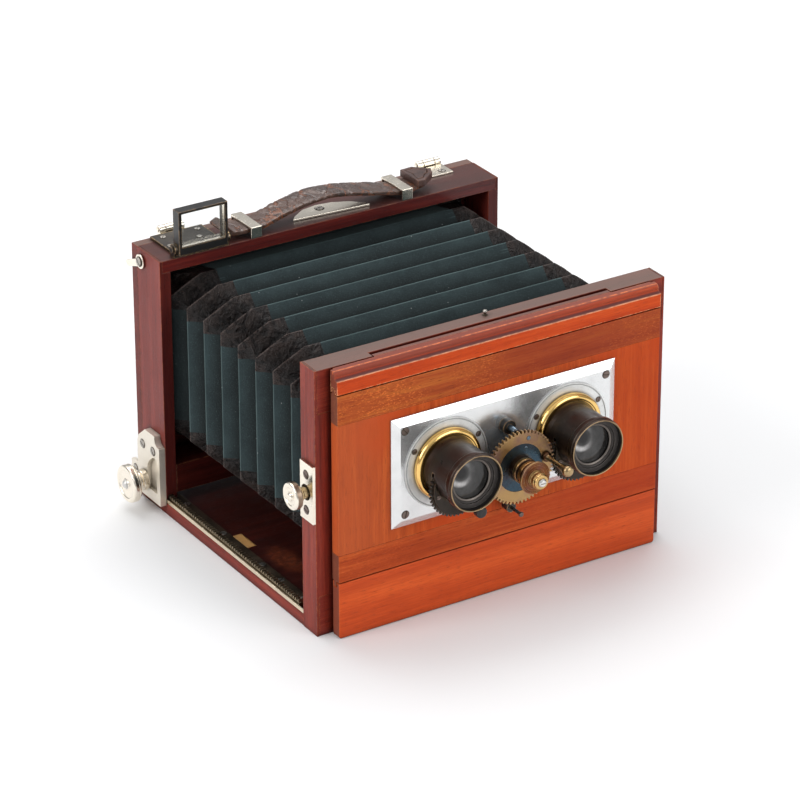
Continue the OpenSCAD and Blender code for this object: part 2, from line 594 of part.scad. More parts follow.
// ---- finder ----
f_x0 = -103.4;
f_x1 = -71.4;
f_y0 = 167.4;
f_y1 = 174.4;
f_z0 = 164;
f_z1 = 191;
f_bar = 1.9;
f_low = 4.9;
module finder_frame() color([0.1, 0.1, 0.1]) set_down() {
    difference() {
        prism_x(concat([[f_y0, f_z1], [f_y0, f_z0], [finder_y + 1.14, f_z0]],
            arc(finder_y, finder_z, 3.4, -69, -41, 5), [[f_y1, finder_z - 2.1], [f_y1, f_z1]]),
            f_x0, f_x1);
        box(f_x0 + f_bar, f_x1 - f_bar, 160, 180, f_z0 + f_low, f_z1 - 1.5);
    }
    cyl_x(1, f_x0 - 2.4, f_x0 + e, finder_y, finder_z);
    cyl_x(1, f_x1 - e, f_x1 + 2.4, finder_y, finder_z);
    cyl_x(1.9, f_x0 - 3.2, f_x0 - 2.3, finder_y, finder_z);
}
module finder_glass() color([0.8, 0.85, 0.85, 0.4]) set_down()
    box(f_x0 + f_bar, f_x1 - f_bar, 170.3, 171.5, f_z0 + f_low, f_z1 - 1.5);

// ---- back ----
module back_hook() color([0.85, 0.83, 0.78]) set_down()
    difference() {
        union() {
            cyl_x(4.4, -hw - 1.5, -hw - 0.3, hook_y, hook_z);
            prism_x([[hook_y, hook_z + 2.2], [hook_y + 2, hook_z - 3.8], [205, 146.8],
                [207.5, 147], [208.4, 149.4], [206.5, 150.6]], -hw - 1.5, -hw - 0.3);
        }
        cyl_x(1.57, -hw - 3, -hw + 1, hook_y, hook_z);
    }
back_x = hw - 0.3;
module back_frame() color([0.42, 0.14, 0.09]) set_down()
    difference() {
        box(-back_x, back_x, back_t0, back_y, 13, rear_h - 0.2);
        box(-86, 86, back_t0 - 1, back_y + 1, 48, 136);
        box(-90, 90, back_t0 - 1, 200, 44, 140);
    }
module ground_glass() color([0.8, 0.85, 0.83, 0.6]) set_down()
    box(-90, 90, 198, 200, 44, 140);
module back_hinge() difference() {
    union() {
        box(80, 96, back_y, back_y + 1.2, 149, rear_h - 0.6);
        box(84.3, 91.7, back_y, back_y + 1.2, 149, hinge_z);
        cyl_x(2.4, 84.3, 91.7, hinge_y, hinge_z);
        cyl_x(1.2, 79.4, 96.6, hinge_y, hinge_z);
    }
}
module back_hinges() color([0.85, 0.83, 0.76]) set_down() mirrored() back_hinge();

// ---- bellows ----
function ring_pts(y, d) =
    let (x = bellows_x - d, t = bellows_top - d, b = bellows_low + d, ch = 10, cb = 14)
    [[-x + cb, y, b], [x - cb, y, b], [x, y, b + cb], [x, y, t - ch],
     [x - right_cw, y, t], [-x + left_cw, y, t], [-x, y, t - ch], [-x, y, b + cb]];
left_cw = 20.5;
right_cw = 12.4;
ridge_0 = 21;
ridge_n = 9;
bel_y0 = front_d + 0.35;
bel_y1 = rear_lip_y - 0.35;
skin = 1.2;
bel_rings = concat([[bel_y0, pleat_d * 0.65]],
    [for (i = [0:ridge_n - 1]) for (k = [0, 1])
        [ridge_0 + i * pleat_p + k * pleat_p / 2, k * pleat_d]],
    [[bel_y1, 1.5]]);
bel_n = len(bel_rings);
module bellows() color([0.17, 0.22, 0.22]) set_down()
    polyhedron(
        points = concat([for (r = bel_rings) for (p = ring_pts(r[0], r[1])) p],
            [for (r = bel_rings) for (p = ring_pts(r[0], r[1] + skin)) p]),
        faces = concat(
            [for (i = [0:bel_n - 2]) for (j = [0:7]) let (a = i * 8 + j,
                b = i * 8 + (j + 1) % 8) each [[a, b, b + 8], [a, b + 8, a + 8]]],
            [for (i = [0:bel_n - 2]) for (j = [0:7]) let (o = bel_n * 8, a = o + i * 8 + j,
                b = o + i * 8 + (j + 1) % 8) each [[a, b + 8, b], [a, a + 8, b + 8]]],
            [for (j = [0:7]) let (a = j, b = (j + 1) % 8, o = bel_n * 8)
                each [[a, o + b, b], [a, o + a, o + b]]],
            [for (j = [0:7]) let (o = bel_n * 8, k = (bel_n - 1) * 8, a = k + j,
                b = k + (j + 1) % 8) each [[a, b, o + b], [a, o + b, o + a]]]));

bed_floor();
bed_rail_left();
bed_rail_right();
front_post_left();
front_post_right();
front_rail_top();
front_rail_bottom();
rack_left();
rack_right();
edge_strips();
base_strips();
bed_screws();
tripod_bush();
clamp_plate();
bellows();
clamp_knob();
front_shield();
front_cornice();
front_bottom_board();
lens_panel();
panel_batten_top();
panel_batten_bottom();
lens_plate();
lens_screws();
lens_flanges();
lens_rings();
barrel_left();
barrel_right();
lens_glasses();
shutter_cases();
gear_bridge();
main_gear();
gear_disc();
gear_drum();
drum_screw();
crank_peg();
shutter_disc_left();
shutter_disc_right();
release_plunger();
rear_post_left();
rear_post_right();
rear_rail_top();
rear_rail_bottom();
bracket_left();
bracket_right();
rear_screws();
finder_base();
strap_loops();
strap();
keeper_plate();
hinge_leaves();
pinion_shaft();
focus_knob();
finder_frame();
finder_glass();
back_hook();
back_frame();
back_hinges();
ground_glass();
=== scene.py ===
import json
import math
import bpy
import bmesh
import numpy as np
from mathutils import Matrix, Vector, noise

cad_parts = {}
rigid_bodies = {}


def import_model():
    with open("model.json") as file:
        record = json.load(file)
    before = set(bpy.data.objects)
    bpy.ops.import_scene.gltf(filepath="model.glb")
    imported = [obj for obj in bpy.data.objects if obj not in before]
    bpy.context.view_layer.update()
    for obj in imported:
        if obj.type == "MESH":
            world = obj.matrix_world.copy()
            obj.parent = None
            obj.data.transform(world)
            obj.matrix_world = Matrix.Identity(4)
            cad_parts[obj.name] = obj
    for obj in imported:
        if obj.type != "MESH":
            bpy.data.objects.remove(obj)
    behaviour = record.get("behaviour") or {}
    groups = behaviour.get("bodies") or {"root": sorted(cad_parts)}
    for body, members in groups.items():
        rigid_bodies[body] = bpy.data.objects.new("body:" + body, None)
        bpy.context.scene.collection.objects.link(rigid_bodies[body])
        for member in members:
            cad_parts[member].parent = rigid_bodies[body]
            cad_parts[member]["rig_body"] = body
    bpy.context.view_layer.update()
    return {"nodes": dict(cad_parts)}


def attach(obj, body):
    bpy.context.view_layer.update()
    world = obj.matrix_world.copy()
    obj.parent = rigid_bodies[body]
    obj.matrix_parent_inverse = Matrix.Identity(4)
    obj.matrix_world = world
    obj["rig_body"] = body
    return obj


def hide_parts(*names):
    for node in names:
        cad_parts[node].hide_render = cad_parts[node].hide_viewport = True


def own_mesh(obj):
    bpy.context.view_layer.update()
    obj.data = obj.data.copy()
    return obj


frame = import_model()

NODES = frame["nodes"]
MM = 0.001
BUSH = 100.0                                  # the tripod bush is this far behind the front face


def yy(y):
    """Distance behind the front frame's face, in mm, to the row frame's Y in metres."""
    return (y - BUSH) * MM


# ------------------------------------------------------------------ camera and stage
scene = bpy.context.scene
cam_data = bpy.data.cameras.new("camera")
cam = bpy.data.objects.new("camera", cam_data)
scene.collection.objects.link(cam)
cam.location = (-1.1062, -1.7698, 1.1073)
target = Vector((-0.0232, -0.0400, 0.09689))
aim = (target - cam.location).to_track_quat("-Z", "Y")
cam.rotation_euler = (aim @ Matrix.Rotation(math.radians(-0.1), 4, "Z").to_quaternion()).to_euler()
cam_data.sensor_width = 36
cam_data.lens = 181.54
cam_data.clip_end = 50
scene.camera = cam
scene.render.resolution_x = 1600
scene.render.resolution_y = 1600
scene.render.engine = "CYCLES"
scene.view_settings.view_transform = "Standard"
scene.view_settings.look = "None"
scene.view_settings.exposure = 0.0


# ------------------------------------------------------------------ material helpers
class Mat:
    """A short way to write node materials; every argument may be a number, a colour or a socket."""

    def __init__(self, name):
        self.m = bpy.data.materials.new(name)
        self.m.use_nodes = True
        self.t = self.m.node_tree
        self.n = self.t.nodes
        self.n.clear()
        self.out = self.n.new("ShaderNodeOutputMaterial")
        self.p = self.n.new("ShaderNodeBsdfPrincipled")
        self.t.links.new(self.p.outputs[0], self.out.inputs[0])
        self.co = self.n.new("ShaderNodeTexCoord").outputs["Object"]

    def put(self, sock, v):
        if isinstance(v, bpy.types.NodeSocket):
            self.t.links.new(v, sock)
        elif hasattr(v, "__len__") and len(v) == 3 and sock.type == "RGBA":
            sock.default_value = (*v, 1)
        else:
            sock.default_value = v

    def set(self, **kw):
        for k, v in kw.items():
            self.put(self.p.inputs[k.replace("_", " ")], v)
        return self

    def math(self, op, a, b=0.0):
        q = self.n.new("ShaderNodeMath")
        q.operation = op
        self.put(q.inputs[0], a)
        self.put(q.inputs[1], b)
        return q.outputs[0]

    def mul(self, a, b):
        return self.math("MULTIPLY", a, b)

    def add(self, a, b):
        return self.math("ADD", a, b)

    def sub(self, a, b):
        return self.math("SUBTRACT", a, b)

    def gap(self, a, b):
        """The distance between two numbers."""
        return self.math("ABSOLUTE", self.sub(a, b))

    def length(self, vec):
        q = self.n.new("ShaderNodeVectorMath")
        q.operation = "LENGTH"
        self.put(q.inputs[0], vec)
        return q.outputs["Value"]

    def noise(self, vec, scale, detail=3.0, rough=0.55, warp=0.0):
        q = self.n.new("ShaderNodeTexNoise")
        self.put(q.inputs["Vector"], vec)
        q.inputs["Scale"].default_value = scale
        q.inputs["Detail"].default_value = detail
        q.inputs["Roughness"].default_value = rough
        q.inputs["Distortion"].default_value = warp
        return q.outputs[0]

    def voro(self, vec, scale, feature="DISTANCE_TO_EDGE"):
        q = self.n.new("ShaderNodeTexVoronoi")
        q.feature = feature
        self.put(q.inputs["Vector"], vec)
        q.inputs["Scale"].default_value = scale
        return q.outputs[0]

    def map(self, vec, scale=(1, 1, 1), loc=(0, 0, 0)):
        q = self.n.new("ShaderNodeMapping")
        self.put(q.inputs["Vector"], vec)
        q.inputs["Scale"].default_value = scale
        q.inputs["Location"].default_value = loc
        return q.outputs[0]

    def ramp(self, fac, stops):
        q = self.n.new("ShaderNodeValToRGB")
        while len(q.color_ramp.elements) < len(stops):
            q.color_ramp.elements.new(0.5)
        for el, (pos, col) in zip(q.color_ramp.elements, stops):
            el.position = pos
            el.color = (*col, 1)
        self.put(q.inputs[0], fac)
        return q.outputs[0]

    def span(self, v, lo, hi, a=0.0, b=1.0):
        q = self.n.new("ShaderNodeMapRange")
        q.interpolation_type = "SMOOTHSTEP"
        self.put(q.inputs[0], v)
        for i, x in enumerate((lo, hi, a, b)):
            q.inputs[i + 1].default_value = x
        return q.outputs[0]

    def mix(self, fac, a, b):
        q = self.n.new("ShaderNodeMix")
        q.data_type = "RGBA"
        self.put(q.inputs[0], fac)
        self.put(q.inputs[6], a)
        self.put(q.inputs[7], b)
        return q.outputs[2]

    def bump(self, height, dist=0.001, strength=1.0, normal=None):
        q = self.n.new("ShaderNodeBump")
        q.inputs["Distance"].default_value = dist
        q.inputs["Strength"].default_value = strength
        self.put(q.inputs["Height"], height)
        if normal is not None:
            self.put(q.inputs["Normal"], normal)
        return q.outputs[0]

    def attr(self, name):
        q = self.n.new("ShaderNodeAttribute")
        q.attribute_name = name
        return q.outputs["Fac"]

    def split(self, vec):
        q = self.n.new("ShaderNodeSeparateXYZ")
        self.put(q.inputs[0], vec)
        return q.outputs

    def edge(self, radius=0.001, lo=0.02, hi=0.2):
        """1 within about radius of an edge, 0 away from it."""
        b = self.n.new("ShaderNodeBevel")
        b.samples = 4
        b.inputs["Radius"].default_value = radius
        g = self.n.new("ShaderNodeNewGeometry")
        d = self.n.new("ShaderNodeVectorMath")
        d.operation = "DOT_PRODUCT"
        self.put(d.inputs[0], b.outputs[0])
        self.put(d.inputs[1], g.outputs["Normal"])
        return self.span(self.sub(1.0, d.outputs["Value"]), lo, hi)

    def crevice_dirt_and_shade(self, dist=0.002, lo=0.45, hi=0.95):
        """1 in crevices, 0 in the open: an ambient-occlusion mask for dirt and painted shade."""
        a = self.n.new("ShaderNodeAmbientOcclusion")
        a.samples = 4
        a.inputs["Distance"].default_value = dist
        return self.span(a.outputs["AO"], lo, hi, 1.0, 0.0)

    def radius(self, cx, cz):
        """Distance from an axis along Y at (x, z), in metres."""
        x, _, z = self.split(self.co)
        dx, dz = self.sub(x, cx), self.sub(z, cz)
        return self.math("SQRT", self.add(self.mul(dx, dx), self.mul(dz, dz)))

    def along(self, axis, k, vec=None, loc=(0, 0, 0)):
        """Coordinates squeezed by k along one axis (0, 1 or 2), so that a texture runs along it."""
        return self.map(vec or self.co, scale=[k if i == axis else 1.0 for i in range(3)], loc=loc)


def wood(name, axis, dark, mid, light, rough=0.3, wear=(0.75, 0.33, 0.15), wear_amt=0.5,
         seed=0.0, fleck=0.0, pores=0.5, figure=150, coat=0.06, blush=None, end_dark=0.5, end=None,
         top=None, top_sheen_amt=0.6, streak=0.0, spec=0.14):
    """Varnished mahogany with its grain along one axis (0, 1 or 2); top, if given, is a painted sheen
    on upward faces.
    """
    m = Mat(name)
    v = m.along(axis, 0.04, loc=(seed, seed * 1.7, seed * 0.6))
    fig = m.noise(v, figure, 4, 0.55, 0.8)
    fib = m.noise(v, 1100, 3, 0.65)
    big = m.noise(m.map(m.co, loc=(seed * 3, 0, seed)), 11, 3, 0.5)
    fac = m.add(m.mul(fig, 0.5), m.add(m.mul(fib, 0.28), m.mul(big, 0.22)))
    col = m.ramp(fac, [(0.36, dark), (0.5, mid), (0.62, light)])
    pv = m.along(axis, 0.07, loc=(seed * 2, seed, 0))
    pore = m.span(m.noise(pv, 2300, 2, 0.5), 0.60, 0.68)
    col = m.mix(m.mul(pore, pores), col, tuple(c * 0.35 for c in dark))
    if fleck:
        fl = m.span(m.noise(m.along(axis, 0.4), 1500, 3, 0.7), 0.52, 0.64)
        fl = m.mul(fl, m.span(m.noise(m.co, 30, 3, 0.6), 0.38, 0.6))
        col = m.mix(m.mul(fl, fleck), col, tuple(min(1, c * 1.9) for c in light))
    if blush:                                   # a second tone in broad soft patches
        col = m.mix(m.span(m.noise(m.map(m.co, loc=(5 + seed, 0, 0)), 16, 3, 0.6), 0.45, 0.68),
                    col, blush)
    if streak:                                  # long dark growth lines
        lines = m.along(axis, 0.02, loc=(seed, 3, seed))
        ln = m.span(m.noise(lines, 95, 3, 0.6), 0.56, 0.68)
        col = m.mix(m.mul(ln, streak), col, dark)
    g = m.n.new("ShaderNodeNewGeometry")
    norm = m.split(g.outputs["True Normal"])
    # painted sheen: upward faces are mixed towards top, a greyish painted reflection of the light above
    if top:
        col = m.mix(m.mul(m.span(norm[2], 0.6, 0.9), top_sheen_amt), col, top)
    endg = m.span(m.math("ABSOLUTE", norm[axis]), 0.75, 0.95)
    col = m.mix(m.mul(endg, end_dark), col, end or tuple(c * 0.45 for c in dark))
    e = m.edge(0.0011)
    chip = m.span(m.noise(m.co, 260, 5, 0.7), 0.38, 0.6)
    col = m.mix(m.mul(m.mul(e, chip), wear_amt), col, wear)
    # dirt and painted shade: crevices are darkened by an ambient-occlusion mask
    dirt_and_shade = m.crevice_dirt_and_shade(0.004)
    col = m.mix(m.mul(dirt_and_shade, 0.75), col, tuple(c * 0.12 for c in dark))
    m.set(Base_Color=col, Coat_Weight=coat, Coat_Roughness=0.16, Specular_IOR_Level=spec)
    m.set(Roughness=m.add(rough, m.mul(m.noise(m.co, 40, 4, 0.6), 0.2)))
    h = m.sub(m.mul(fib, 0.5), m.mul(pore, 1.0))
    m.set(Normal=m.bump(h, 0.00012, 0.55))
    m.p.inputs["Coat Normal"].default_value = (0, 0, 0)
    return m.m


def metal(name, col, rough=0.28, dirt_and_shade=(0.10, 0.07, 0.04), dirt_and_shade_amt=0.7, blot=0.25,
          blot_col=None, scratch=None, rings=None, worn=None, worn_amt=0.6, metallic=1.0,
          fine=0.6, speck=None, spread=0.22, edge=0.0006, coat=0.0):
    """Metal with blotches, scratches along an axis or turned rings, corners darkened by dirt and
    painted shade, worn edges.
    """
    m = Mat(name)
    c = m.mix(m.mul(m.span(m.noise(m.co, 90, 5, 0.65), 0.4, 0.75), blot), col,
              blot_col or tuple(x * 0.55 for x in col))
    c = m.mix(m.mul(m.span(m.noise(m.co, 900, 3, 0.6), 0.58, 0.72),
                    blot if speck is None else speck), c, tuple(x * 0.6 for x in col))
    if worn:
        e = m.edge(edge)
        k = m.span(m.noise(m.co, 500, 4, 0.7), 0.35, 0.6)
        c = m.mix(m.mul(m.mul(e, k), worn_amt), c, worn)
    # dirt and painted shade: crevices are darkened by an ambient-occlusion mask
    c = m.mix(m.mul(m.crevice_dirt_and_shade(), dirt_and_shade_amt), c, dirt_and_shade)
    h = m.noise(m.co, 2600, 3, 0.6)
    if scratch is not None:
        h = m.add(h, m.mul(m.noise(m.along(scratch, 0.02), 4200, 3, 0.7), 2.0))
    if rings is not None:
        r = m.radius(*rings)
        q = m.n.new("ShaderNodeTexNoise")
        q.noise_dimensions = "1D"
        m.put(q.inputs["W"], r)
        q.inputs["Scale"].default_value = 2600
        q.inputs["Detail"].default_value = 3
        h = m.add(h, m.mul(q.outputs[0], 2.2))
    rg = m.add(rough, m.mul(m.span(m.noise(m.co, 130, 5, 0.7), 0.3, 0.75), spread))
    m.set(Base_Color=c, Metallic=metallic, Roughness=rg, Normal=m.bump(h, 0.00004, fine),
          Coat_Weight=coat, Coat_Roughness=0.30)
    return m.m


# ------------------------------------------------------------------ mesh helpers
def tidy(bm, bevel, seg, angle=30.0):
    """Joins flat triangles into faces and eases every edge sharper than angle, by bevel mm."""
    bmesh.ops.remove_doubles(bm, verts=bm.verts, dist=2e-6)
    bmesh.ops.dissolve_limit(bm, angle_limit=math.radians(0.6), verts=bm.verts, edges=bm.edges)
    bmesh.ops.recalc_face_normals(bm, faces=bm.faces)
    if bevel:
        sharp = [e for e in bm.edges if len(e.link_faces) == 2
                 and e.calc_face_angle(0) > math.radians(angle)]
        bmesh.ops.bevel(bm, geom=sharp, offset=bevel * MM, offset_type="OFFSET", segments=seg,
                        profile=0.5, affect="EDGES", clamp_overlap=True)
        bmesh.ops.remove_doubles(bm, verts=bm.verts, dist=5e-7)


def obj_from(name, bm, mats, body, smooth=38.0, weighted=True, replaces=()):
    """The mesh as an object on its body, shaded smooth but for edges sharper than smooth."""
    me = bpy.data.meshes.new(name)
    bm.to_mesh(me)
    bm.free()
    for f in me.polygons:
        f.use_smooth = True
    me.set_sharp_from_angle(angle=math.radians(smooth))
    for mt in (mats if isinstance(mats, (list, tuple)) else [mats]):
        me.materials.append(mt)
    o = bpy.data.objects.new(name, me)
    scene.collection.objects.link(o)
    if weighted:
        w = o.modifiers.new("weighted", "WEIGHTED_NORMAL")
        w.keep_sharp = True
        apply_mods(o)
    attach(o, body)
    if replaces:
        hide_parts(*replaces)
    return o


def apply_mods(o):
    dg = bpy.context.evaluated_depsgraph_get()
    dg.update()
    me = bpy.data.meshes.new_from_object(o.evaluated_get(dg), preserve_all_data_layers=True,
                                         depsgraph=dg)
    me.name = o.name
    o.modifiers.clear()
    o.data = me


def from_cad(node, mat, bevel, seg):
    """A finished copy of a CAD node: same solid, eased edges, its own material."""
    bm = bmesh.new()
    bm.from_mesh(NODES[node].data)
    tidy(bm, bevel, seg)
    obj_from("v_" + node, bm, mat, NODES[node]["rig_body"], replaces=[node])


def lathe_bm(bm, pts, place, n=96):
    """Turns [r, h] in mm about the local Z axis; place takes local metres to the row frame."""
    rows = []
    for r, h in pts:
        if r < 1e-6:
            rows.append([bm.verts.new(place @ Vector((0, 0, h * MM)))])
        else:
            rows.append([bm.verts.new(place @ Vector((r * MM * math.cos(2 * math.pi * i / n),
                                                      r * MM * math.sin(2 * math.pi * i / n),
                                                      h * MM))) for i in range(n)])
    for k in range(len(rows) - 1):
        a, b = rows[k], rows[k + 1]
        for i in range(n):
            j = (i + 1) % n
            if len(a) == 1 and len(b) == 1:
                continue
            if len(a) == 1:
                bm.faces.new((a[0], b[i], b[j]))
            elif len(b) == 1:
                bm.faces.new((a[i], b[0], a[j]))
            else:
                bm.faces.new((a[i], b[i], b[j], a[j]))


def rounded(pts, r=0.3, n=3):
    """Rounds the corners of an open [r, h] line by short arcs of about r mm."""
    out = [pts[0]]
    for i in range(1, len(pts) - 1):
        a, b, c = Vector(pts[i - 1]), Vector(pts[i]), Vector(pts[i + 1])
        d0, d1 = a - b, c - b
        k = min(r, d0.length * 0.45, d1.length * 0.45)
        if k < 1e-4 or d0.length < 1e-6 or d1.length < 1e-6:
            out.append(pts[i])
            continue
        p0, p1 = b + d0.normalized() * k, b + d1.normalized() * k
        for j in range(n + 1):
            t = j / n
            out.append(tuple((1 - t) ** 2 * p0 + 2 * t * (1 - t) * b + t * t * p1))
    out.append(pts[-1])
    return out


def turned(name, parts, mats, body, replaces=(), n=96, r=0.3):
    """parts: [(profile, place, material index)]."""
    bm = bmesh.new()
    for pts, place, mi in parts:
        start = len(bm.faces)
        lathe_bm(bm, rounded(pts, r), place, n)
        bm.faces.ensure_lookup_table()
        for f in bm.faces[start:]:
            f.material_index = mi
    bmesh.ops.recalc_face_normals(bm, faces=bm.faces)
    obj_from(name, bm, mats, body, smooth=32, replaces=replaces)


def screw_head(bm, place, r, h, turn):
    """A slotted, slightly domed head in a countersink painted dark as shade; local Z is its outward
    axis.
    """
    place = place @ Matrix.Rotation(math.radians(turn), 4, "Z")
    n, w, depth, countersink_shade_ring = 40, r * 0.13, h * 0.75, 1.16

    def dome(x, y):
        q = min(1.0, (x * x + y * y) / (r * r))
        return h * (0.62 + 0.38 * math.sqrt(1 - q * 0.92))

    def add(quad, mi):
        f = bm.faces.new(quad)
        f.material_index = mi

    for side in (1, -1):                       # the two halves of the head
        pts = []
        a0 = math.asin(w / r)
        for i in range(n // 2 + 1):
            a = a0 + (math.pi - 2 * a0) * i / (n // 2)
            pts.append((r * math.cos(a), side * r * math.sin(a)))
        rows = []
        for f in (1.0, 0.93, 0.6, 0.25, 0.0):
            rows.append([bm.verts.new(place @ Vector((x * MM, (side * w + (y - side * w) * f) * MM,
                         dome(x, side * w + (y - side * w) * f) * (1 if f < 1 else 0.8) * MM)))
                         for x, y in pts])
        low = [bm.verts.new(place @ Vector((x * MM, y * MM, 0))) for x, y in pts]
        slot_low = [bm.verts.new(place @ Vector((x * MM, side * w * MM, (h - depth) * MM)))
                    for x, y in pts]
        rows = [low] + rows + [slot_low]
        for k in range(len(rows) - 1):
            for i in range(n // 2):
                q = (rows[k][i], rows[k][i + 1], rows[k + 1][i + 1], rows[k + 1][i])
                add(q if side > 0 else q[::-1], 0)
    xs = math.sqrt(r * r - w * w)
    # the slot's floor is near-black: painted shade with dirt
    add([bm.verts.new(place @ Vector((sx * xs * MM, sy * w * MM, (h - depth) * MM)))
         for sx, sy in ((-1, -1), (1, -1), (1, 1), (-1, 1))], 1)
    # a flat dark ring round the head: painted shade of the countersink
    ring = []
    for q, z in ((r * 0.98, 0.02), (r * countersink_shade_ring, 0.02), (r * countersink_shade_ring, 0.0)):
        ring.append([bm.verts.new(place @ Vector((q * MM * math.cos(2 * math.pi * i / n),
                                                  q * MM * math.sin(2 * math.pi * i / n), z * MM)))
                     for i in range(n)])
    for k in range(2):
        for i in range(n):
            j = (i + 1) % n
            add((ring[k][i], ring[k + 1][i], ring[k + 1][j], ring[k][j]), 1)


UP = Matrix.Rotation(0, 4, "Z")
FRONT = Matrix.Rotation(math.radians(90), 4, "X")
LEFT = Matrix.Rotation(math.radians(-90), 4, "Y")
RIGHT = Matrix.Rotation(math.radians(90), 4, "Y")


def at(x, y, z, turn=UP):
    """A place in mm, y counted from the front frame's face, with local Z along turn."""
    return Matrix.Translation((x * MM, yy(y), z * MM)) @ turn


def front_at(x, z):
    """Local Z points forward (towards -Y), counted from the front frame's face."""
    return at(x, 0, z, FRONT)


def left_at(y, z):
    """Local Z points to the left (towards -X), counted from the middle plane."""
    return at(0, y, z, LEFT)


def screws(name, mat, body, heads, replaces=()):
    """Screw heads as one piece; each is (place, radius, height, turn in degrees)."""
    bm = bmesh.new()
    for place, r, h, turn in heads:
        screw_head(bm, place, r, h, turn)
    obj_from(name, bm, [mat, DARK_FILL_AND_SHADE], body, 30, replaces=replaces)


def thicken(o, thickness, offset):
    """Adds a wall of so many metres; the caller applies it."""
    s = o.modifiers.new("thick", "SOLIDIFY")
    s.thickness = thickness
    s.offset = offset
    return s


def box_bm(bm, x0, x1, y0, y1, z0, z1):
    v = [bm.verts.new((x * MM, yy(y), z * MM)) for x in (x0, x1) for y in (y0, y1) for z in (z0, z1)]
    for q in ((0, 1, 3, 2), (4, 6, 7, 5), (0, 4, 5, 1), (2, 3, 7, 6), (0, 2, 6, 4), (1, 5, 7, 3)):
        bm.faces.new([v[i] for i in q])


# ------------------------------------------------------------------ materials
GX, GZ = 1.1, 85.0                            # the shutter gear's axis
LX, LZ = (GX - 40, GX + 40), 93.5             # the lens axes, 80 mm apart
DARK_WOOD = ((0.105, 0.011, 0.007), (0.200, 0.022, 0.012), (0.30, 0.040, 0.020))
SIDE_WEAR = (0.70, 0.20, 0.06)
# a greyish painted sheen for upward faces, standing in for the reflection of the light above
TOP_SHEEN_GREY = (0.175, 0.128, 0.108)
W_FRAME_Z = wood("mahogany frame upright", 2, *DARK_WOOD, wear=SIDE_WEAR, seed=1.3, top=TOP_SHEEN_GREY,
                 top_sheen_amt=0.82, coat=0.12, figure=220)
W_FRAME_X = wood("mahogany frame rail", 0, *DARK_WOOD, wear=SIDE_WEAR, seed=2.1, top=TOP_SHEEN_GREY,
                 top_sheen_amt=0.82, coat=0.12)
W_REAR = wood("mahogany rear rail", 0, (0.055, 0.006, 0.006), (0.105, 0.012, 0.010),
              (0.17, 0.022, 0.015), seed=2.6, wear=SIDE_WEAR, top=(0.075, 0.034, 0.028),
              top_sheen_amt=0.7, coat=0.25, spec=0.2)
# a darkened copy of the rail mahogany: painted shade for the lower rear rail
W_INNER_SHADED = wood("mahogany inner rail", 0, (0.030, 0.004, 0.004), (0.055, 0.008, 0.006),
               (0.085, 0.013, 0.010), seed=2.9, coat=0.1)
W_RAIL_Y = wood("mahogany bed rail", 1, *DARK_WOOD, wear=SIDE_WEAR, seed=3.7)
W_PANEL = wood("cherry red panel", 2, (0.33, 0.044, 0.008), (0.49, 0.074, 0.011),
               (0.62, 0.118, 0.020), rough=0.42, seed=5.2, wear=(0.85, 0.32, 0.08), wear_amt=0.3,
               pores=0.6, figure=230, blush=(0.53, 0.062, 0.009), streak=0.12, spec=0.10,
               coat=0.03)
FRONT_END = (0.125, 0.052, 0.038)
W_BATTEN = wood("golden batten", 0, (0.24, 0.036, 0.009), (0.40, 0.072, 0.015),
                (0.50, 0.125, 0.022), rough=0.42, seed=6.1, fleck=0.5, wear_amt=0.3, pores=0.5,
                end=FRONT_END, end_dark=0.8, streak=0.5, spec=0.11, coat=0.04)
W_BATTEN2 = wood("golden batten low", 0, (0.29, 0.037, 0.008), (0.44, 0.062, 0.012),
                 (0.54, 0.100, 0.020), rough=0.42, seed=9.6, fleck=0.15, wear_amt=0.3, pores=0.45,
                 end=FRONT_END, end_dark=0.8, streak=0.25, spec=0.10, coat=0.04)
W_BOTTOM = wood("red bottom board", 0, (0.44, 0.050, 0.010), (0.60, 0.078, 0.014),
                (0.74, 0.115, 0.022), rough=0.42, seed=8.5, wear=(0.9, 0.35, 0.1), wear_amt=0.3,
                pores=0.35, figure=55, end=FRONT_END, end_dark=0.8, streak=0.3)


def graft(m, build):
    """Mixes something more over a finished material's colour; build gives (factor, colour)."""
    t, n = m.node_tree, m.node_tree.nodes
    q = Mat.__new__(Mat)
    q.m, q.t, q.n = m, t, n
    q.p = next(k for k in n if k.bl_idname == "ShaderNodeBsdfPrincipled")
    q.co = n.new("ShaderNodeTexCoord").outputs["Object"]
    old = q.p.inputs["Base Color"].links[0].from_socket
    fac, col = build(q)
    q.put(q.p.inputs["Base Color"], q.mix(fac, old, col))
    return m


# painted shade: below 148 mm the shield is coloured almost black, as the shadowed gap it shows through
W_SHIELD = graft(wood("shield board", 0, *DARK_WOOD, seed=12.1, top=TOP_SHEEN_GREY, wear=SIDE_WEAR),
                 lambda q: (q.span(q.split(q.co)[2], 0.1478, 0.1482, 1.0, 0.0),
                            (0.007, 0.005, 0.004)))


def tone_along(m, *steps):
    """steps: (x0, x1, amount at x0, amount at x1, colour)"""
    for x0, x1, a, b, col in steps:
        graft(m, lambda q: (q.span(q.split(q.co)[0], x0, x1, a, b), col))


tone_along(W_PANEL, (-0.10, -0.05, 0.55, 0.0, (0.50, 0.108, 0.036)),
           (0.03, 0.09, 0.0, 0.5, (0.50, 0.052, 0.007)))
tone_along(W_BATTEN, (-0.06, 0.03, 0.0, 0.5, (0.27, 0.028, 0.009)))
tone_along(W_BATTEN2, (-0.03, 0.07, 0.0, 0.5, (0.42, 0.034, 0.006)))


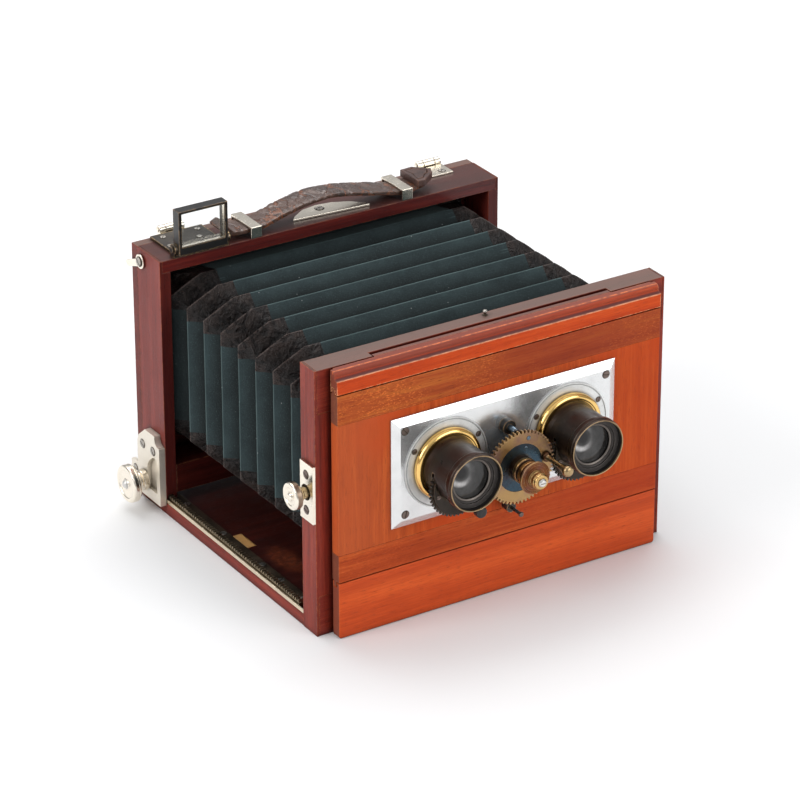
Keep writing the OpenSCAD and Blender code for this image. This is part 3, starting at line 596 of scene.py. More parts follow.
def cornice_marks(q):
    """A rubbed orange line along the nose."""
    _, y, z = q.split(q.co)
    line = q.span(q.gap(y, yy(-4.7)), 0.0001, 0.0008, 1.0, 0.0)
    line = q.mul(line, q.span(z, 0.1608, 0.1616))
    return (q.mul(line, q.span(q.noise(q.co, 210, 6, 0.75), 0.36, 0.60, 0.0, 0.75)),
            (0.85, 0.22, 0.075))


def ledge_line(q):
    """The rubbed upper edge of the board's flat face."""
    _, y, z = q.split(q.co)
    line = q.span(q.gap(z, 0.1582), 0.0002, 0.0006, 1.0, 0.0)
    line = q.mul(line, q.span(y, yy(-8.3), yy(-8.9)))
    return (q.mul(line, q.span(q.noise(q.co, 160, 5, 0.7), 0.34, 0.58, 0.25, 0.85)),
            (0.80, 0.36, 0.20))


def nose_tone(q):
    z = q.split(q.co)[2]
    vary = q.span(q.noise(q.along(0, 0.1), 60, 4, 0.6), 0.3, 0.7, 0.45, 0.85)
    return q.mul(q.span(z, 0.1590, 0.1602), vary), (0.23, 0.058, 0.040)


def ledge_shade(q):
    g = q.n.new("ShaderNodeNewGeometry")
    up = q.span(q.split(g.outputs["True Normal"])[2], 0.25, 0.6)
    low = q.span(q.split(q.co)[2], 0.1586, 0.1600, 1.0, 0.0)
    return (q.mul(q.mul(up, low), 0.8), (0.105, 0.034, 0.034))


W_CORNICE = wood("red cornice", 0, (0.40, 0.038, 0.006), (0.56, 0.060, 0.008),
                 (0.68, 0.095, 0.014), rough=0.38, seed=7.7, wear=(1.0, 0.50, 0.24),
                 wear_amt=0.95, pores=0.35, top=(0.17, 0.105, 0.09), top_sheen_amt=0.75,
                 end=FRONT_END, end_dark=0.8, coat=0.06, spec=0.10)
for more in (nose_tone, cornice_marks, ledge_shade, ledge_line):
    graft(W_CORNICE, more)


# painted shade: faces looking forward are darkened, standing in for the shadow on the rear posts'
# fronts
def front_painted_shade(q):
    g = q.n.new("ShaderNodeNewGeometry")
    y = q.mul(q.split(g.outputs["True Normal"])[1], -1.0)
    return q.mul(q.span(y, 0.6, 0.9), 0.62), (0.022, 0.003, 0.004)


W_REAR_POST = graft(wood("mahogany rear post", 2, (0.135, 0.020, 0.015), (0.195, 0.030, 0.022),
                         (0.26, 0.044, 0.030), wear=SIDE_WEAR, seed=1.9, top=TOP_SHEEN_GREY,
                         top_sheen_amt=0.5, coat=0.12, figure=180), front_painted_shade)


def worn_patch(q):
    """A worn reddish patch on the bed's floor near the label."""
    rx, ry = 0.0085, 0.018
    d = q.length(q.map(q.co, scale=(1 / rx, 1 / ry, 0.0), loc=(0.0895 / rx, -yy(77) / ry, 0.0)))
    edge = q.add(d, q.noise(q.co, 170, 6, 0.7))
    mottle = q.span(q.noise(q.co, 420, 5, 0.7), 0.35, 0.7, 0.12, 0.75)
    return (q.mul(q.span(edge, 1.0, 1.7, 1.0, 0.0), mottle), (0.26, 0.062, 0.024))


W_FLOOR = graft(wood("mahogany floor", 0, (0.022, 0.004, 0.003), (0.042, 0.007, 0.005),
                     (0.075, 0.012, 0.008), rough=0.26, wear_amt=0.2, seed=4.4, coat=0.3,
                     spec=0.3), worn_patch)
NICKEL = metal("worn nickel", (0.93, 0.86, 0.74), 0.17, worn=(0.95, 0.80, 0.52), scratch=2,
               blot=0.12, speck=0.0, dirt_and_shade_amt=0.4, spread=0.12, fine=0.3)
NICKEL_SATIN = metal("satin nickel", (0.80, 0.74, 0.64), 0.30, worn=(0.95, 0.85, 0.62), scratch=2,
                     blot=0.10, speck=0.04, dirt_and_shade_amt=0.5, spread=0.14, metallic=0.55)
NICKEL_DARK = metal("dark nickel", (0.10, 0.09, 0.082), 0.30, worn=(0.90, 0.62, 0.30),
                    worn_amt=1.0, scratch=1, blot=0.45, speck=0.15, edge=0.0012)
KNOB_SIDE = metal("worn knob side", (0.34, 0.26, 0.19), 0.24, blot=0.8,
                  blot_col=(0.16, 0.11, 0.075), worn=(0.85, 0.72, 0.52), speck=0.3)
KNOB_NECK = metal("knob neck brass", (0.62, 0.48, 0.28), 0.24, blot=0.6,
                  blot_col=(0.26, 0.17, 0.08), speck=0.2)
STEEL = metal("screw steel", (0.46, 0.43, 0.39), 0.30, scratch=0, blot=0.4, speck=0.1)
SCREW_DARK = metal("lens screw", (0.20, 0.155, 0.135), 0.32, scratch=0, blot=0.5, speck=0.2)
# near-black: engraved dial marks, and painted shade with dirt in screw slots and countersinks
DARK_FILL_AND_SHADE = metal("slot dirt", (0.025, 0.02, 0.018), 0.6, metallic=0.3)
BRASS = metal("polished brass", (0.93, 0.61, 0.21), 0.08, worn=(0.98, 0.82, 0.5), blot=0.3,
              blot_col=(0.62, 0.36, 0.08), speck=0.08, spread=0.09, dirt_and_shade=(0.40, 0.20, 0.05),
              dirt_and_shade_amt=0.35)
RACK_BRASS = metal("rack brass", (0.38, 0.31, 0.22), 0.30, scratch=1, blot=0.5, worn=(0.75, 0.62, 0.4))
STRIP_BRASS = metal("edge brass", (0.92, 0.80, 0.60), 0.16, scratch=1, blot=0.2, speck=0.05,
                    spread=0.12)
BASE_BRONZE = metal("base plate bronze", (0.16, 0.12, 0.085), 0.36, scratch=1, blot=0.6,
                    blot_col=(0.07, 0.052, 0.038), worn=(0.55, 0.42, 0.25))
OLD_BRASS = metal("old gear brass", (0.42, 0.265, 0.115), 0.27, rings=(GX * MM, GZ * MM),
                  worn=(0.86, 0.62, 0.32), worn_amt=0.8, blot=0.8, blot_col=(0.22, 0.115, 0.13),
                  speck=0.15)
BLUED = metal("blued steel", (0.045, 0.075, 0.10), 0.24, rings=(GX * MM, GZ * MM), blot=1.0,
              blot_col=(0.045, 0.035, 0.042), worn=(0.3, 0.35, 0.4), speck=0.1)
SHUTTER = metal("shutter disc steel", (0.075, 0.072, 0.07), 0.38, blot=0.3, worn=(0.30, 0.28, 0.26),
                worn_amt=0.5, speck=0.1)
DRUM = metal("drum bronze", (0.13, 0.066, 0.036), 0.26, rings=(GX * MM, GZ * MM), blot=0.5,
             blot_col=(0.10, 0.05, 0.04), worn=(0.85, 0.6, 0.3), worn_amt=0.9, speck=0.15)
BAND = metal("drum bright band", (0.48, 0.28, 0.11), 0.22, rings=(GX * MM, GZ * MM), blot=0.4,
             speck=0.1)
DIAL = metal("dial copper", (0.20, 0.070, 0.022), 0.24, rings=(GX * MM, GZ * MM), blot=0.75,
             blot_col=(0.15, 0.065, 0.07), worn=(0.90, 0.65, 0.32), speck=0.75)
BOSS = metal("boss brass", (0.62, 0.40, 0.16), 0.22, blot=0.5, blot_col=(0.30, 0.16, 0.07),
             worn=(0.95, 0.75, 0.4), speck=0.2)
PEG = metal("crank peg brass", (0.50, 0.36, 0.19), 0.22, blot=0.5, blot_col=(0.24, 0.15, 0.08),
            worn=(0.9, 0.7, 0.4), speck=0.15)
BRONZE = metal("barrel bronze", (0.036, 0.026, 0.020), 0.27, worn=(0.42, 0.30, 0.20),
               worn_amt=0.9, blot=0.5, blot_col=(0.055, 0.038, 0.030), dirt_and_shade=(0.01, 0.008, 0.006),
               speck=0.05, dirt_and_shade_amt=0.25, edge=0.0009, coat=0.35)
BORE = metal("barrel bore", (0.045, 0.039, 0.036), 0.34, metallic=0.7, blot=0.3, speck=0.1,
             dirt_and_shade=(0.01, 0.009, 0.008), worn=(0.30, 0.27, 0.24), worn_amt=0.8, edge=0.0007)
RIM = metal("worn brass rim", (0.44, 0.31, 0.17), 0.30, blot=0.9, blot_col=(0.12, 0.08, 0.05),
            speck=0.1)
RETAINER = metal("retaining ring", (0.17, 0.15, 0.135), 0.26, blot=0.4, speck=0.1)
ALU = metal("aluminium plate", (0.80, 0.81, 0.81), 0.13, scratch=0, blot=0.25,
            dirt_and_shade_amt=0.0, worn=(0.95, 0.95, 0.96), speck=0.06, metallic=0.82,
            spread=0.12, fine=0.35)
ALU_TURNED = [metal("turned aluminium " + side, (0.82, 0.83, 0.82), 0.42, rings=(x * MM, LZ * MM),
                    blot=0.5, blot_col=(0.55, 0.56, 0.55), dirt_and_shade=(0.12, 0.115, 0.11), speck=0.45,
                    worn=(0.98, 0.98, 0.96), worn_amt=1.0, edge=0.0005, spread=0.1, dirt_and_shade_amt=0.8,
                    metallic=0.75) for side, x in zip(("left", "right"), LX)]
BLACK = metal("black lacquer", (0.018, 0.018, 0.018), 0.26, metallic=0.2, worn=(0.50, 0.31, 0.15),
              worn_amt=1.0, blot=0.2, speck=0.05, edge=0.0011)
CASE = metal("case bronze black", (0.05, 0.042, 0.036), 0.36, worn=(0.4, 0.29, 0.16), blot=0.4)
STEEL_BRIGHT = metal("bright steel", (0.72, 0.71, 0.68), 0.22, scratch=0, blot=0.3, speck=0.1)
STEEL_BLUE = metal("steel blue", (0.22, 0.30, 0.38), 0.2, scratch=1, blot=0.3, speck=0.1)


def lens_material(cx):
    """Dark glass over a dark tube, with a painted pale highlight low on one side, a painted dark spot,
    and a grey haze painted lighter towards one side as reflection.
    """
    m = Mat("highlight_painted lens %d" % round(cx))
    x = m.split(m.co)[0]
    far = m.length(m.map(m.co, scale=(1, 0, 1), loc=(-(cx - 6.3) * MM, 0, -(LZ + 5.6) * MM)))
    # painted highlight: a pale arc low on one side, standing in for a reflection in the glass
    arc = m.span(m.gap(far, 0.0066), 0.0003, 0.0024, 1.0, 0.0)
    side = m.span(x, (cx - 8.0) * MM, (cx + 0.5) * MM, 1.0, 0.02)
    cloud = m.span(m.noise(m.co, 260, 5, 0.65), 0.25, 0.7, 0.45, 1.0)
    painted_highlight = m.mul(m.mul(arc, side), cloud)
    painted_dark_spot = m.span(far, 0.002, 0.0048, 1.0, 0.0)
    # grey haze, partly real cloudiness, painted lighter towards one side as reflection
    haze_and_painted_reflection = m.span(m.noise(m.co, 120, 4, 0.6), 0.3, 0.75, 0.028, 0.075)
    edge = m.span(x, (cx - 1) * MM, (cx + 11) * MM, 1.0, 0.25)
    body = m.mix(m.mul(haze_and_painted_reflection, edge), (0.004, 0.004, 0.004), (1.0, 0.97, 0.94))
    body = m.mix(m.mul(painted_dark_spot, 0.85), body, (0.012, 0.011, 0.011))
    c = m.mix(m.mul(painted_highlight, 0.85), body, (0.85, 0.83, 0.82))
    m.set(Roughness=0.10, Metallic=0.0, Specular_IOR_Level=0.35, Base_Color=c)
    return m.m


def glass_material(name, tint=(0.95, 0.98, 0.97), rough=0.02, frost=0.0):
    m = Mat(name)
    smear = m.noise(m.co, 60, 4, 0.6)
    m.set(Base_Color=tint, Transmission_Weight=1.0, IOR=1.45,
          Roughness=m.add(rough, m.mul(smear, 0.05 + frost)))
    if frost:
        m.set(Normal=m.bump(m.noise(m.co, 9000, 2, 0.6), 0.00003, 0.8))
    return m.m


LENS = [lens_material(x) for x in LX]
CLEAR = glass_material("finder glass")
FROST = glass_material("ground glass", (0.86, 0.9, 0.88), 0.35, 0.15)


def cloth_material():
    m = Mat("bellows cloth")
    weave = m.noise(m.along(1, 0.25), 2800, 2, 0.5)
    weave2 = m.noise(m.map(m.co, scale=(0.2, 1, 0.2)), 2600, 2, 0.5)
    slow = m.noise(m.co, 38, 4, 0.6)
    c = m.ramp(m.add(m.mul(slow, 0.6), m.mul(weave, 0.4)),
               [(0.35, (0.016, 0.025, 0.027)), (0.5, (0.027, 0.042, 0.045)),
                (0.68, (0.040, 0.062, 0.065))])
    # painted shade: darker towards the pleat valleys
    c = m.mix(m.span(m.attr("depth"), 0.06, 0.75, 0.0, 0.72), c, (0.006, 0.007, 0.007))
    # painted highlight: lighter along each ridge
    c = m.mix(m.mul(m.span(m.attr("ridge"), 0.25, 1.0), 0.75), c, (0.085, 0.130, 0.130))
    fleck = m.span(m.noise(m.co, 1500, 3, 0.75), 0.56, 0.68)
    c = m.mix(m.mul(fleck, 0.40), c, (0.085, 0.125, 0.13))
    rub = m.mul(m.span(m.attr("depth"), 0.0, 0.35, 1.0, 0.0),
                m.span(m.noise(m.along(2, 0.2), 160, 4, 0.65), 0.5, 0.75))
    c = m.mix(m.mul(rub, 0.25), c, (0.06, 0.11, 0.11))
    frays = m.span(m.noise(m.along(0, 0.05), 900, 3, 0.6), 0.62, 0.72)
    c = m.mix(m.mul(m.mul(m.attr("seam"), frays), 0.6), c, (0.12, 0.19, 0.19))
    lint = m.span(m.voro(m.co, 150, "F1"), 0.055, 0.035)
    c = m.mix(m.mul(lint, 0.55), c, (0.42, 0.45, 0.44))
    # dirt and painted shade in the folds, from an ambient-occlusion mask
    c = m.mix(m.mul(m.crevice_dirt_and_shade(0.016, 0.25, 0.95), 0.6), c, (0.006, 0.008, 0.008))
    h = m.add(m.mul(weave, 0.6), m.mul(weave2, 0.6))
    nb = m.bump(h, 0.00022, 0.8)
    nb = m.bump(m.noise(m.co, 60, 3, 0.5), 0.0006, 0.5, nb)
    m.set(Base_Color=c, Roughness=0.85, Sheen_Weight=0.12, Sheen_Roughness=0.5, Normal=nb,
          Specular_IOR_Level=0.25)
    m.p.inputs["Sheen Tint"].default_value = (0.55, 0.75, 0.75, 1)
    return m.m


def corner_leather():
    m = Mat("bellows corner leather")
    slow = m.noise(m.co, 55, 4, 0.6)
    c = m.ramp(slow, [(0.32, (0.010, 0.007, 0.006)), (0.5, (0.022, 0.015, 0.013)),
                      (0.7, (0.042, 0.029, 0.025))])
    # painted shade: darker towards the pleat valleys
    c = m.mix(m.span(m.attr("depth"), 0.08, 0.55, 0.0, 0.8), c, (0.004, 0.003, 0.003))
    # painted highlight: lighter along each ridge
    c = m.mix(m.mul(m.span(m.attr("ridge"), 0.25, 1.0), 0.7), c, (0.115, 0.084, 0.074))
    cre = m.noise(m.along(1, 0.5), 95, 3, 0.5, 2.0)
    # painted fold shading: dark in the creases, and a painted highlight on their crests
    c = m.mix(m.mul(m.span(cre, 0.47, 0.37), 0.75), c, (0.004, 0.003, 0.003))
    c = m.mix(m.mul(m.span(cre, 0.56, 0.68), 0.28), c, (0.075, 0.055, 0.048))
    wr = m.noise(m.along(1, 0.35), 420, 5, 0.65, 1.2)
    cr = m.voro(m.along(1, 0.5), 520)
    c = m.mix(m.mul(m.span(wr, 0.56, 0.72), 0.4), c, (0.13, 0.095, 0.082))
    # dirt and painted shade in the folds, from an ambient-occlusion mask
    c = m.mix(m.mul(m.crevice_dirt_and_shade(0.012, 0.25, 0.9), 0.6), c, (0.006, 0.004, 0.004))
    nb = m.bump(wr, 0.0011, 0.9)
    folds = m.noise(m.along(1, 0.6), 130, 4, 0.6, 1.8)
    nb = m.bump(folds, 0.0036, 0.9, nb)
    nb = m.bump(cre, 0.0028, 0.7, nb)
    nb = m.bump(m.span(cr, 0.0, 0.1), 0.00018, 0.5, nb)
    m.set(Base_Color=c, Roughness=0.46, Specular_IOR_Level=0.32, Normal=nb)
    return m.m


def lining():
    m = Mat("bellows lining")
    c = m.mix(m.noise(m.co, 900, 3, 0.6), (0.006, 0.006, 0.006), (0.018, 0.017, 0.016))
    m.set(Base_Color=c, Roughness=0.9, Normal=m.bump(m.noise(m.co, 2500, 2), 0.0002, 0.6))
    return m.m


def strap_leather():
    m = Mat("strap leather")
    big = m.noise(m.co, 55, 5, 0.65)
    c = m.ramp(big, [(0.32, (0.030, 0.014, 0.009)), (0.5, (0.074, 0.036, 0.024)),
                     (0.68, (0.150, 0.084, 0.062))])
    warped = m.n.new("ShaderNodeVectorMath")
    warped.operation = "ADD"
    m.put(warped.inputs[0], m.along(1, 0.30))
    wn = m.n.new("ShaderNodeTexNoise")
    m.put(wn.inputs["Vector"], m.co)
    wn.inputs["Scale"].default_value = 120
    wn.inputs["Detail"].default_value = 4
    sc = m.n.new("ShaderNodeVectorMath")
    sc.operation = "SCALE"
    m.put(sc.inputs[0], wn.outputs["Color"])
    sc.inputs["Scale"].default_value = 0.016
    m.put(warped.inputs[1], sc.outputs[0])
    crack = m.voro(warped.outputs[0], 85)
    width = m.span(m.noise(m.co, 75, 4, 0.6), 0.38, 0.66, 0.002, 0.075)
    deep = m.span(m.sub(crack, width), -0.01, 0.022, 1.0, 0.0)
    fine = m.span(m.noise(m.along(1, 0.4), 700, 4, 0.7, 1.0), 0.60, 0.68)
    flake = m.span(m.noise(m.co, 95, 5, 0.75, 1.0), 0.55, 0.64)
    c = m.mix(m.mul(flake, 0.40), c, (0.34, 0.25, 0.215))
    c = m.mix(m.mul(fine, 0.35), c, (0.14, 0.05, 0.022))
    rust = m.mix(m.noise(m.co, 260, 3), (0.10, 0.026, 0.008), (0.30, 0.10, 0.035))
    c = m.mix(m.mul(deep, 0.9), c, rust)
    side = m.mul(m.edge(0.0014), m.span(m.noise(m.co, 200, 3), 0.35, 0.6))
    c = m.mix(m.mul(side, 0.8), c, (0.20, 0.065, 0.022))
    # dirt and painted shade in the crevices, from an ambient-occlusion mask
    c = m.mix(m.mul(m.crevice_dirt_and_shade(0.004), 0.6), c, (0.03, 0.012, 0.006))
    warp = m.noise(m.co, 320, 5, 0.7, 1.2)
    nb = m.bump(m.sub(m.mul(warp, 0.5), m.mul(deep, 1.0)), 0.0018, 0.9)
    nb = m.bump(m.noise(m.co, 2400, 3, 0.6), 0.00008, 0.5, nb)
    m.set(Base_Color=c, Roughness=m.add(0.20, m.mul(warp, 0.28)), Normal=nb,
          Coat_Weight=0.45, Coat_Roughness=0.16)
    return m.m


def pad_leather():
    m = Mat("strap end leather")
    c = m.ramp(m.noise(m.co, 120, 5, 0.65), [(0.32, (0.036, 0.016, 0.013)),
                                             (0.5, (0.066, 0.031, 0.025)), (0.7, (0.12, 0.062, 0.048))])
    worn = m.mul(m.edge(0.0012), m.span(m.noise(m.co, 300, 4), 0.42, 0.6))
    c = m.mix(m.mul(worn, 0.7), c, (0.28, 0.10, 0.04))
    # dirt and painted shade in the crevices, from an ambient-occlusion mask
    c = m.mix(m.mul(m.crevice_dirt_and_shade(0.003), 0.6), c, (0.03, 0.012, 0.006))
    nb = m.bump(m.noise(m.co, 500, 5, 0.7, 1.0), 0.00022, 0.7)
    m.set(Base_Color=c, Roughness=0.42, Normal=nb)
    return m.m


CLOTH, CORNER, LINING, STRAP = cloth_material(), corner_leather(), lining(), strap_leather()
PAD = pad_leather()


def plain(name, col, rough, lo=0.8, scale=500, bump=0.0001):
    m = Mat(name)
    n = m.noise(m.co, scale, 4, 0.6)
    m.set(Base_Color=m.mix(n, tuple(c * lo for c in col), col), Roughness=rough,
          Normal=m.bump(n, bump, 0.6))
    return m.m


PAPER = plain("label paper", (0.70, 0.37, 0.12), 0.6, 0.55, 160)
THREAD = plain("strap thread", (0.09, 0.045, 0.03), 0.7)

# ------------------------------------------------------------------ wooden pieces
for node, mt in (("front_post_left", W_FRAME_Z), ("front_post_right", W_FRAME_Z),
                 ("rear_post_left", W_REAR_POST), ("rear_post_right", W_REAR_POST),
                 ("front_rail_top", W_FRAME_X), ("front_rail_bottom", W_FRAME_X),
                 ("rear_rail_top", W_REAR), ("rear_rail_bottom", W_INNER_SHADED),
                 ("back_frame", W_FRAME_X), ("bed_rail_left", W_RAIL_Y),
                 ("bed_rail_right", W_RAIL_Y)):
    from_cad(node, mt, 0.35, 3)
from_cad("bed_floor", W_FLOOR, 0.3, 2)
from_cad("front_shield", W_SHIELD, 0.2, 2)
from_cad("front_cornice", W_CORNICE, 0.5, 3)
from_cad("front_bottom_board", W_BOTTOM, 0.7, 4)
from_cad("lens_panel", W_PANEL, 0.3, 2)
from_cad("panel_batten_top", W_BATTEN, 0.2, 2)
from_cad("panel_batten_bottom", W_BATTEN2, 0.2, 2)

# ------------------------------------------------------------------ flat metalwork
for node, mt, bv, sl in (
        ("clamp_plate", NICKEL, 0.25, "nickel"), ("bracket_left", NICKEL_SATIN, 0.3, "nickel"),
        ("bracket_right", NICKEL_SATIN, 0.3, "nickel"), ("strap_loops", NICKEL, 0.35, "nickel"),
        ("keeper_plate", NICKEL, 0.3, "nickel"), ("hinge_leaves", NICKEL, 0.25, "nickel"),
        ("back_hinges", NICKEL, 0.25, "nickel"), ("back_hook", NICKEL, 0.3, "nickel"),
        ("rack_left", RACK_BRASS, 0.08, "brass"), ("rack_right", RACK_BRASS, 0.08, "brass"),
        ("edge_strips", STRIP_BRASS, 0.3, "brass"), ("tripod_bush", BRASS, 0.3, "brass"),
        ("base_strips", BASE_BRONZE, 0.2, "dark_bronze"), ("lens_plate", ALU, 0, "aluminium"),
        ("gear_bridge", BLACK, 0.3, "black_metal"), ("main_gear", OLD_BRASS, 0.12, "old_brass"),
        ("gear_disc", BLUED, 0.15, "blued_steel"), ("shutter_disc_left", SHUTTER, 0.1, "old_brass"),
        ("shutter_disc_right", SHUTTER, 0.1, "old_brass"),
        ("shutter_cases", CASE, 0.3, "black_metal"), ("finder_base", NICKEL_DARK, 0.2, "black_metal"),
        ("finder_frame", BLACK, 0.4, "black_metal"), ("pinion_shaft", STEEL_BRIGHT, 0.12, "steel"),
        ("drum_screw", STEEL_BRIGHT, 0.1, "steel")):
    from_cad(node, mt, bv, 2)
from_cad("finder_glass", CLEAR, 0.1, 1)
from_cad("ground_glass", FROST, 0.2, 1)

# ------------------------------------------------------------------ screws
screws("v_bed_screws", STEEL, "bed",
       [(at(s * 106.4, y, 8.7), 2.0, 0.24, 20 + y * 7)
        for y in (28.5, 53.4, 74.5, 118.9, 161.5) for s in (-1, 1)], ["bed_screws"])
screws("v_clamp_screws", SCREW_DARK, "bed",
       [(at(-116.8, 7, z, LEFT), 2.4, 0.5, turn) for z, turn in ((98.6, 62), (77, 75))])
pin = at(1.6, 11.2, 163)
turned("v_top_pin", [([(0, 0), (1.5, 0), (1.5, 0.35), (0.85, 0.6), (0.75, 0.9), (0.75, 1.4)], pin, 0),
    ([(0.75, 1.4), (1.05, 1.6), (1.4, 2.0), (1.4, 2.6), (0.9, 3.1), (0, 3.2)], pin, 1)],
    [CASE, STEEL], "bed", n=32, r=0.15)

heads = [(at(1.1 + sx * 66.3, -12.4, z, FRONT), 2.2, 0.6, 30 + sx * 20 + z)
         for sx in (-1, 1) for z in (68, 119.2)]
for x in LX:
    for a in (30, 150, 270):
        heads.append((at(x + 24 * math.cos(math.radians(a)), -13.2,
                         LZ + 24 * math.sin(math.radians(a)), FRONT), 1.5, 0.5, a + 40))
    heads.append((at(x - 14.2, -27.5, GZ - 3, FRONT), 1.3, 0.5, 10))
screws("v_lens_screws", SCREW_DARK, "lens_board", heads, ["lens_screws"])

heads = []
for s, turn in ((-1, LEFT), (1, RIGHT)):
    heads += [(at(s * 119, 190.3, 39.4, turn), 2.5, 0.6, 65),
              (at(s * 119, 178, 39.4, turn), 2.5, 0.6, 40),
              (at(s * 117, 203.4, 17.3, turn), 2.3, 0.6, 85)]
heads += [(at(90.5, 194.2, 163.2), 2.1, 0.5, 40), (at(83.5, 198.2, 163.2), 1.6, 0.5, 80)]
heads += [(at(x, y, 163.6), 1.7, 0.5, y * 3)
          for x, y in ((-97.8, 197), (-100.2, 184.2), (-79.5, 187.4), (-75.2, 197.4))]
heads += [(at(-0.6, 184.4, 163.6), 2.6, 0.6, 15), (at(-116.7, 191.8, 154.7, LEFT), 2.7, 0.8, 45)]
screws("v_rear_screws", STEEL, "rear_standard", heads, ["rear_screws"])

# ------------------------------------------------------------------ lenses and shutter
for i, x in enumerate(LX):
    side = ("left", "right")[i]
    f = front_at(x, LZ)
    turned("v_flange_" + side, [([(14.1, 12.4), (27, 12.4), (27, 13.0), (26.85, 13.2),
        (26.3, 13.2), (26.15, 12.8), (25.75, 12.8), (25.6, 13.15), (14.1, 13.15)], f, 0)],
        [ALU_TURNED[i]], "lens_board", n=160, r=0.04,
        replaces=["lens_flanges"][i:])
    turned("v_ring_" + side, [([(10.8, -2), (14, -2), (14, 13.2), (21.3, 13.2), (21.5, 14.2),
        (21.25, 15.6), (20.6, 16.7), (19.6, 17.2), (18.7, 17.1), (18.1, 16.75), (17.3, 16.7),
        (17.2, 15.2), (10.8, 15.0)], f, 0)], [BRASS], "lens_board", n=128, r=0.35,
        replaces=["lens_rings"][i:])
    bm = bmesh.new()
    outer = [(13.2, 15), (17.3, 15), (17.3, 17.4), (17.0, 18.6), (16.6, 20.2), (16.4, 22.6),
             (16.4, 28), (16.15, 37.4), (16.6, 37.8), (17.1, 38.4), (17.3, 38.9), (17.3, 41.7),
             (17.15, 42.0), (16.95, 42.2), (17.0, 43.2), (16.7, 43.9)]
    inner = [(16.7, 43.9), (16.35, 44.0), (16.1, 43.9), (15.95, 43.2), (15.85, 40.4), (13.6, 40.1),
             (13.5, 39.3), (12.5, 39.0), (12.3, 38.7), (12.3, 36), (10.5, 36), (10.5, 34.5),
             (13.2, 34), (13.2, 15)]
    lathe_bm(bm, rounded(outer, 0.25), f, 144)
    k = len(bm.faces)
    lathe_bm(bm, rounded(inner, 0.12), f, 144)
    bm.faces.ensure_lookup_table()
    for q in bm.faces[k:]:
        c = f.inverted() @ q.calc_center_median()
        q.material_index = 2 if math.hypot(c.x, c.y) > 15.85 * MM and c.z > 43.0 * MM else 1
    bmesh.ops.remove_doubles(bm, verts=bm.verts, dist=1e-6)
    bmesh.ops.recalc_face_normals(bm, faces=bm.faces)
    o = obj_from("v_barrel_" + side, bm, [BRONZE, BORE, RIM], "lens_board", 34, weighted=False,
                 replaces=["barrel_" + side])
    cb = bmesh.new()                          # the slot for the shutter disc
    lathe_bm(cb, [(0, 24), (19.6, 24), (19.6, 26), (0, 26)], front_at(x, GZ))
    bmesh.ops.recalc_face_normals(cb, faces=cb.faces)
    cme = bpy.data.meshes.new("slot")
    cb.to_mesh(cme)
    cb.free()
    cutter = bpy.data.objects.new("slot", cme)
    scene.collection.objects.link(cutter)
    md = o.modifiers.new("slot", "BOOLEAN")
    md.object = cutter
    md.operation = "DIFFERENCE"
    md.solver = "EXACT"
    apply_mods(o)
    bpy.data.objects.remove(cutter)
    turned("v_stop_" + side, [([(6.9, 22.6), (13.15, 22.6), (13.15, 24), (6.9, 24), (6.9, 22.6)],
        f, 0), ([(6.9, 26), (13.15, 26), (13.15, 27.5), (6.9, 27.5), (6.9, 26)], f, 0),
        ([(0, 24), (1.5, 24), (1.5, 26), (0, 26)], front_at(x, GZ), 0)], [CASE], "lens_board",
        n=72, r=0.1)
    turned("v_glass_" + side, [([(0, 36), (12.2, 36), (12.2, 36.8), (11.2, 37.2), (10, 37.5),
        (8.5, 37.85), (7, 38.1), (5.3, 38.32), (3.6, 38.45), (1.8, 38.53), (0, 38.55)], f, 0)],
        [LENS[i]], "lens_board", n=96, r=0.3,
        replaces=["lens_glasses"][i:])
    turned("v_retainer_" + side, [([(12.3, 36.9), (11.5, 37.3), (11.2, 37.9), (11.4, 38.3),
        (12.3, 38.6)], f, 0)], [RETAINER], "lens_board", n=96, r=0.2)

turned("v_thumbscrew", [([(0, 27.5), (1.5, 27.5), (1.5, 32.6), (2.2, 33), (3.2, 33.3),
    (3.4, 33.7), (3.4, 36.9), (3.1, 37.5), (2.2, 37.9), (0.8, 38), (0, 37.8)],
    front_at(LX[0] + 7.8, GZ - 14.4), 0)], [BLACK], "lens_board", n=48)
g = front_at(GX, GZ)
turned("v_gear_drum", [([(2.55, 26.4), (7.5, 26.4), (7.5, 29.6)], g, 0),
    ([(7.5, 29.6), (7.65, 29.9), (7.65, 31.8), (7.5, 32.1)], g, 1),
    ([(7.5, 32.1), (7.15, 32.4), (7.15, 34.2), (7.5, 34.5)], g, 0),
    ([(7.5, 34.5), (7.6, 34.8), (7.6, 36.4), (7.5, 36.7)], g, 1),
    ([(7.5, 36.7), (7.5, 39.0), (8.2, 39.8), (9.3, 40.1), (9.6, 40.5)], g, 0),
    ([(9.6, 40.5), (9.6, 41.2), (9.3, 41.6)], g, 4),
    ([(9.3, 41.6), (8.6, 41.72), (8.5, 41.62), (8.4, 41.72), (7.7, 41.74), (7.6, 41.64),
    (7.5, 41.74), (6.1, 41.76), (6.0, 41.66), (5.9, 41.76), (4.9, 41.8)], g, 2),
    ([(4.9, 41.8), (4.7, 42.0), (4.6, 43.0), (4.3, 43.2), (4.3, 44.2), (4.9, 44.5), (4.9, 46.0),
    (4.5, 46.4), (4.4, 47.2), (4.0, 47.9), (3.0, 48.0), (0, 48.0)], g, 3)],
    [DRUM, BAND, DIAL, BOSS, OLD_BRASS], "shutter_gear",
    replaces=("gear_drum",), n=96, r=0.12)
bm = bmesh.new()                              # graduation marks round the dial
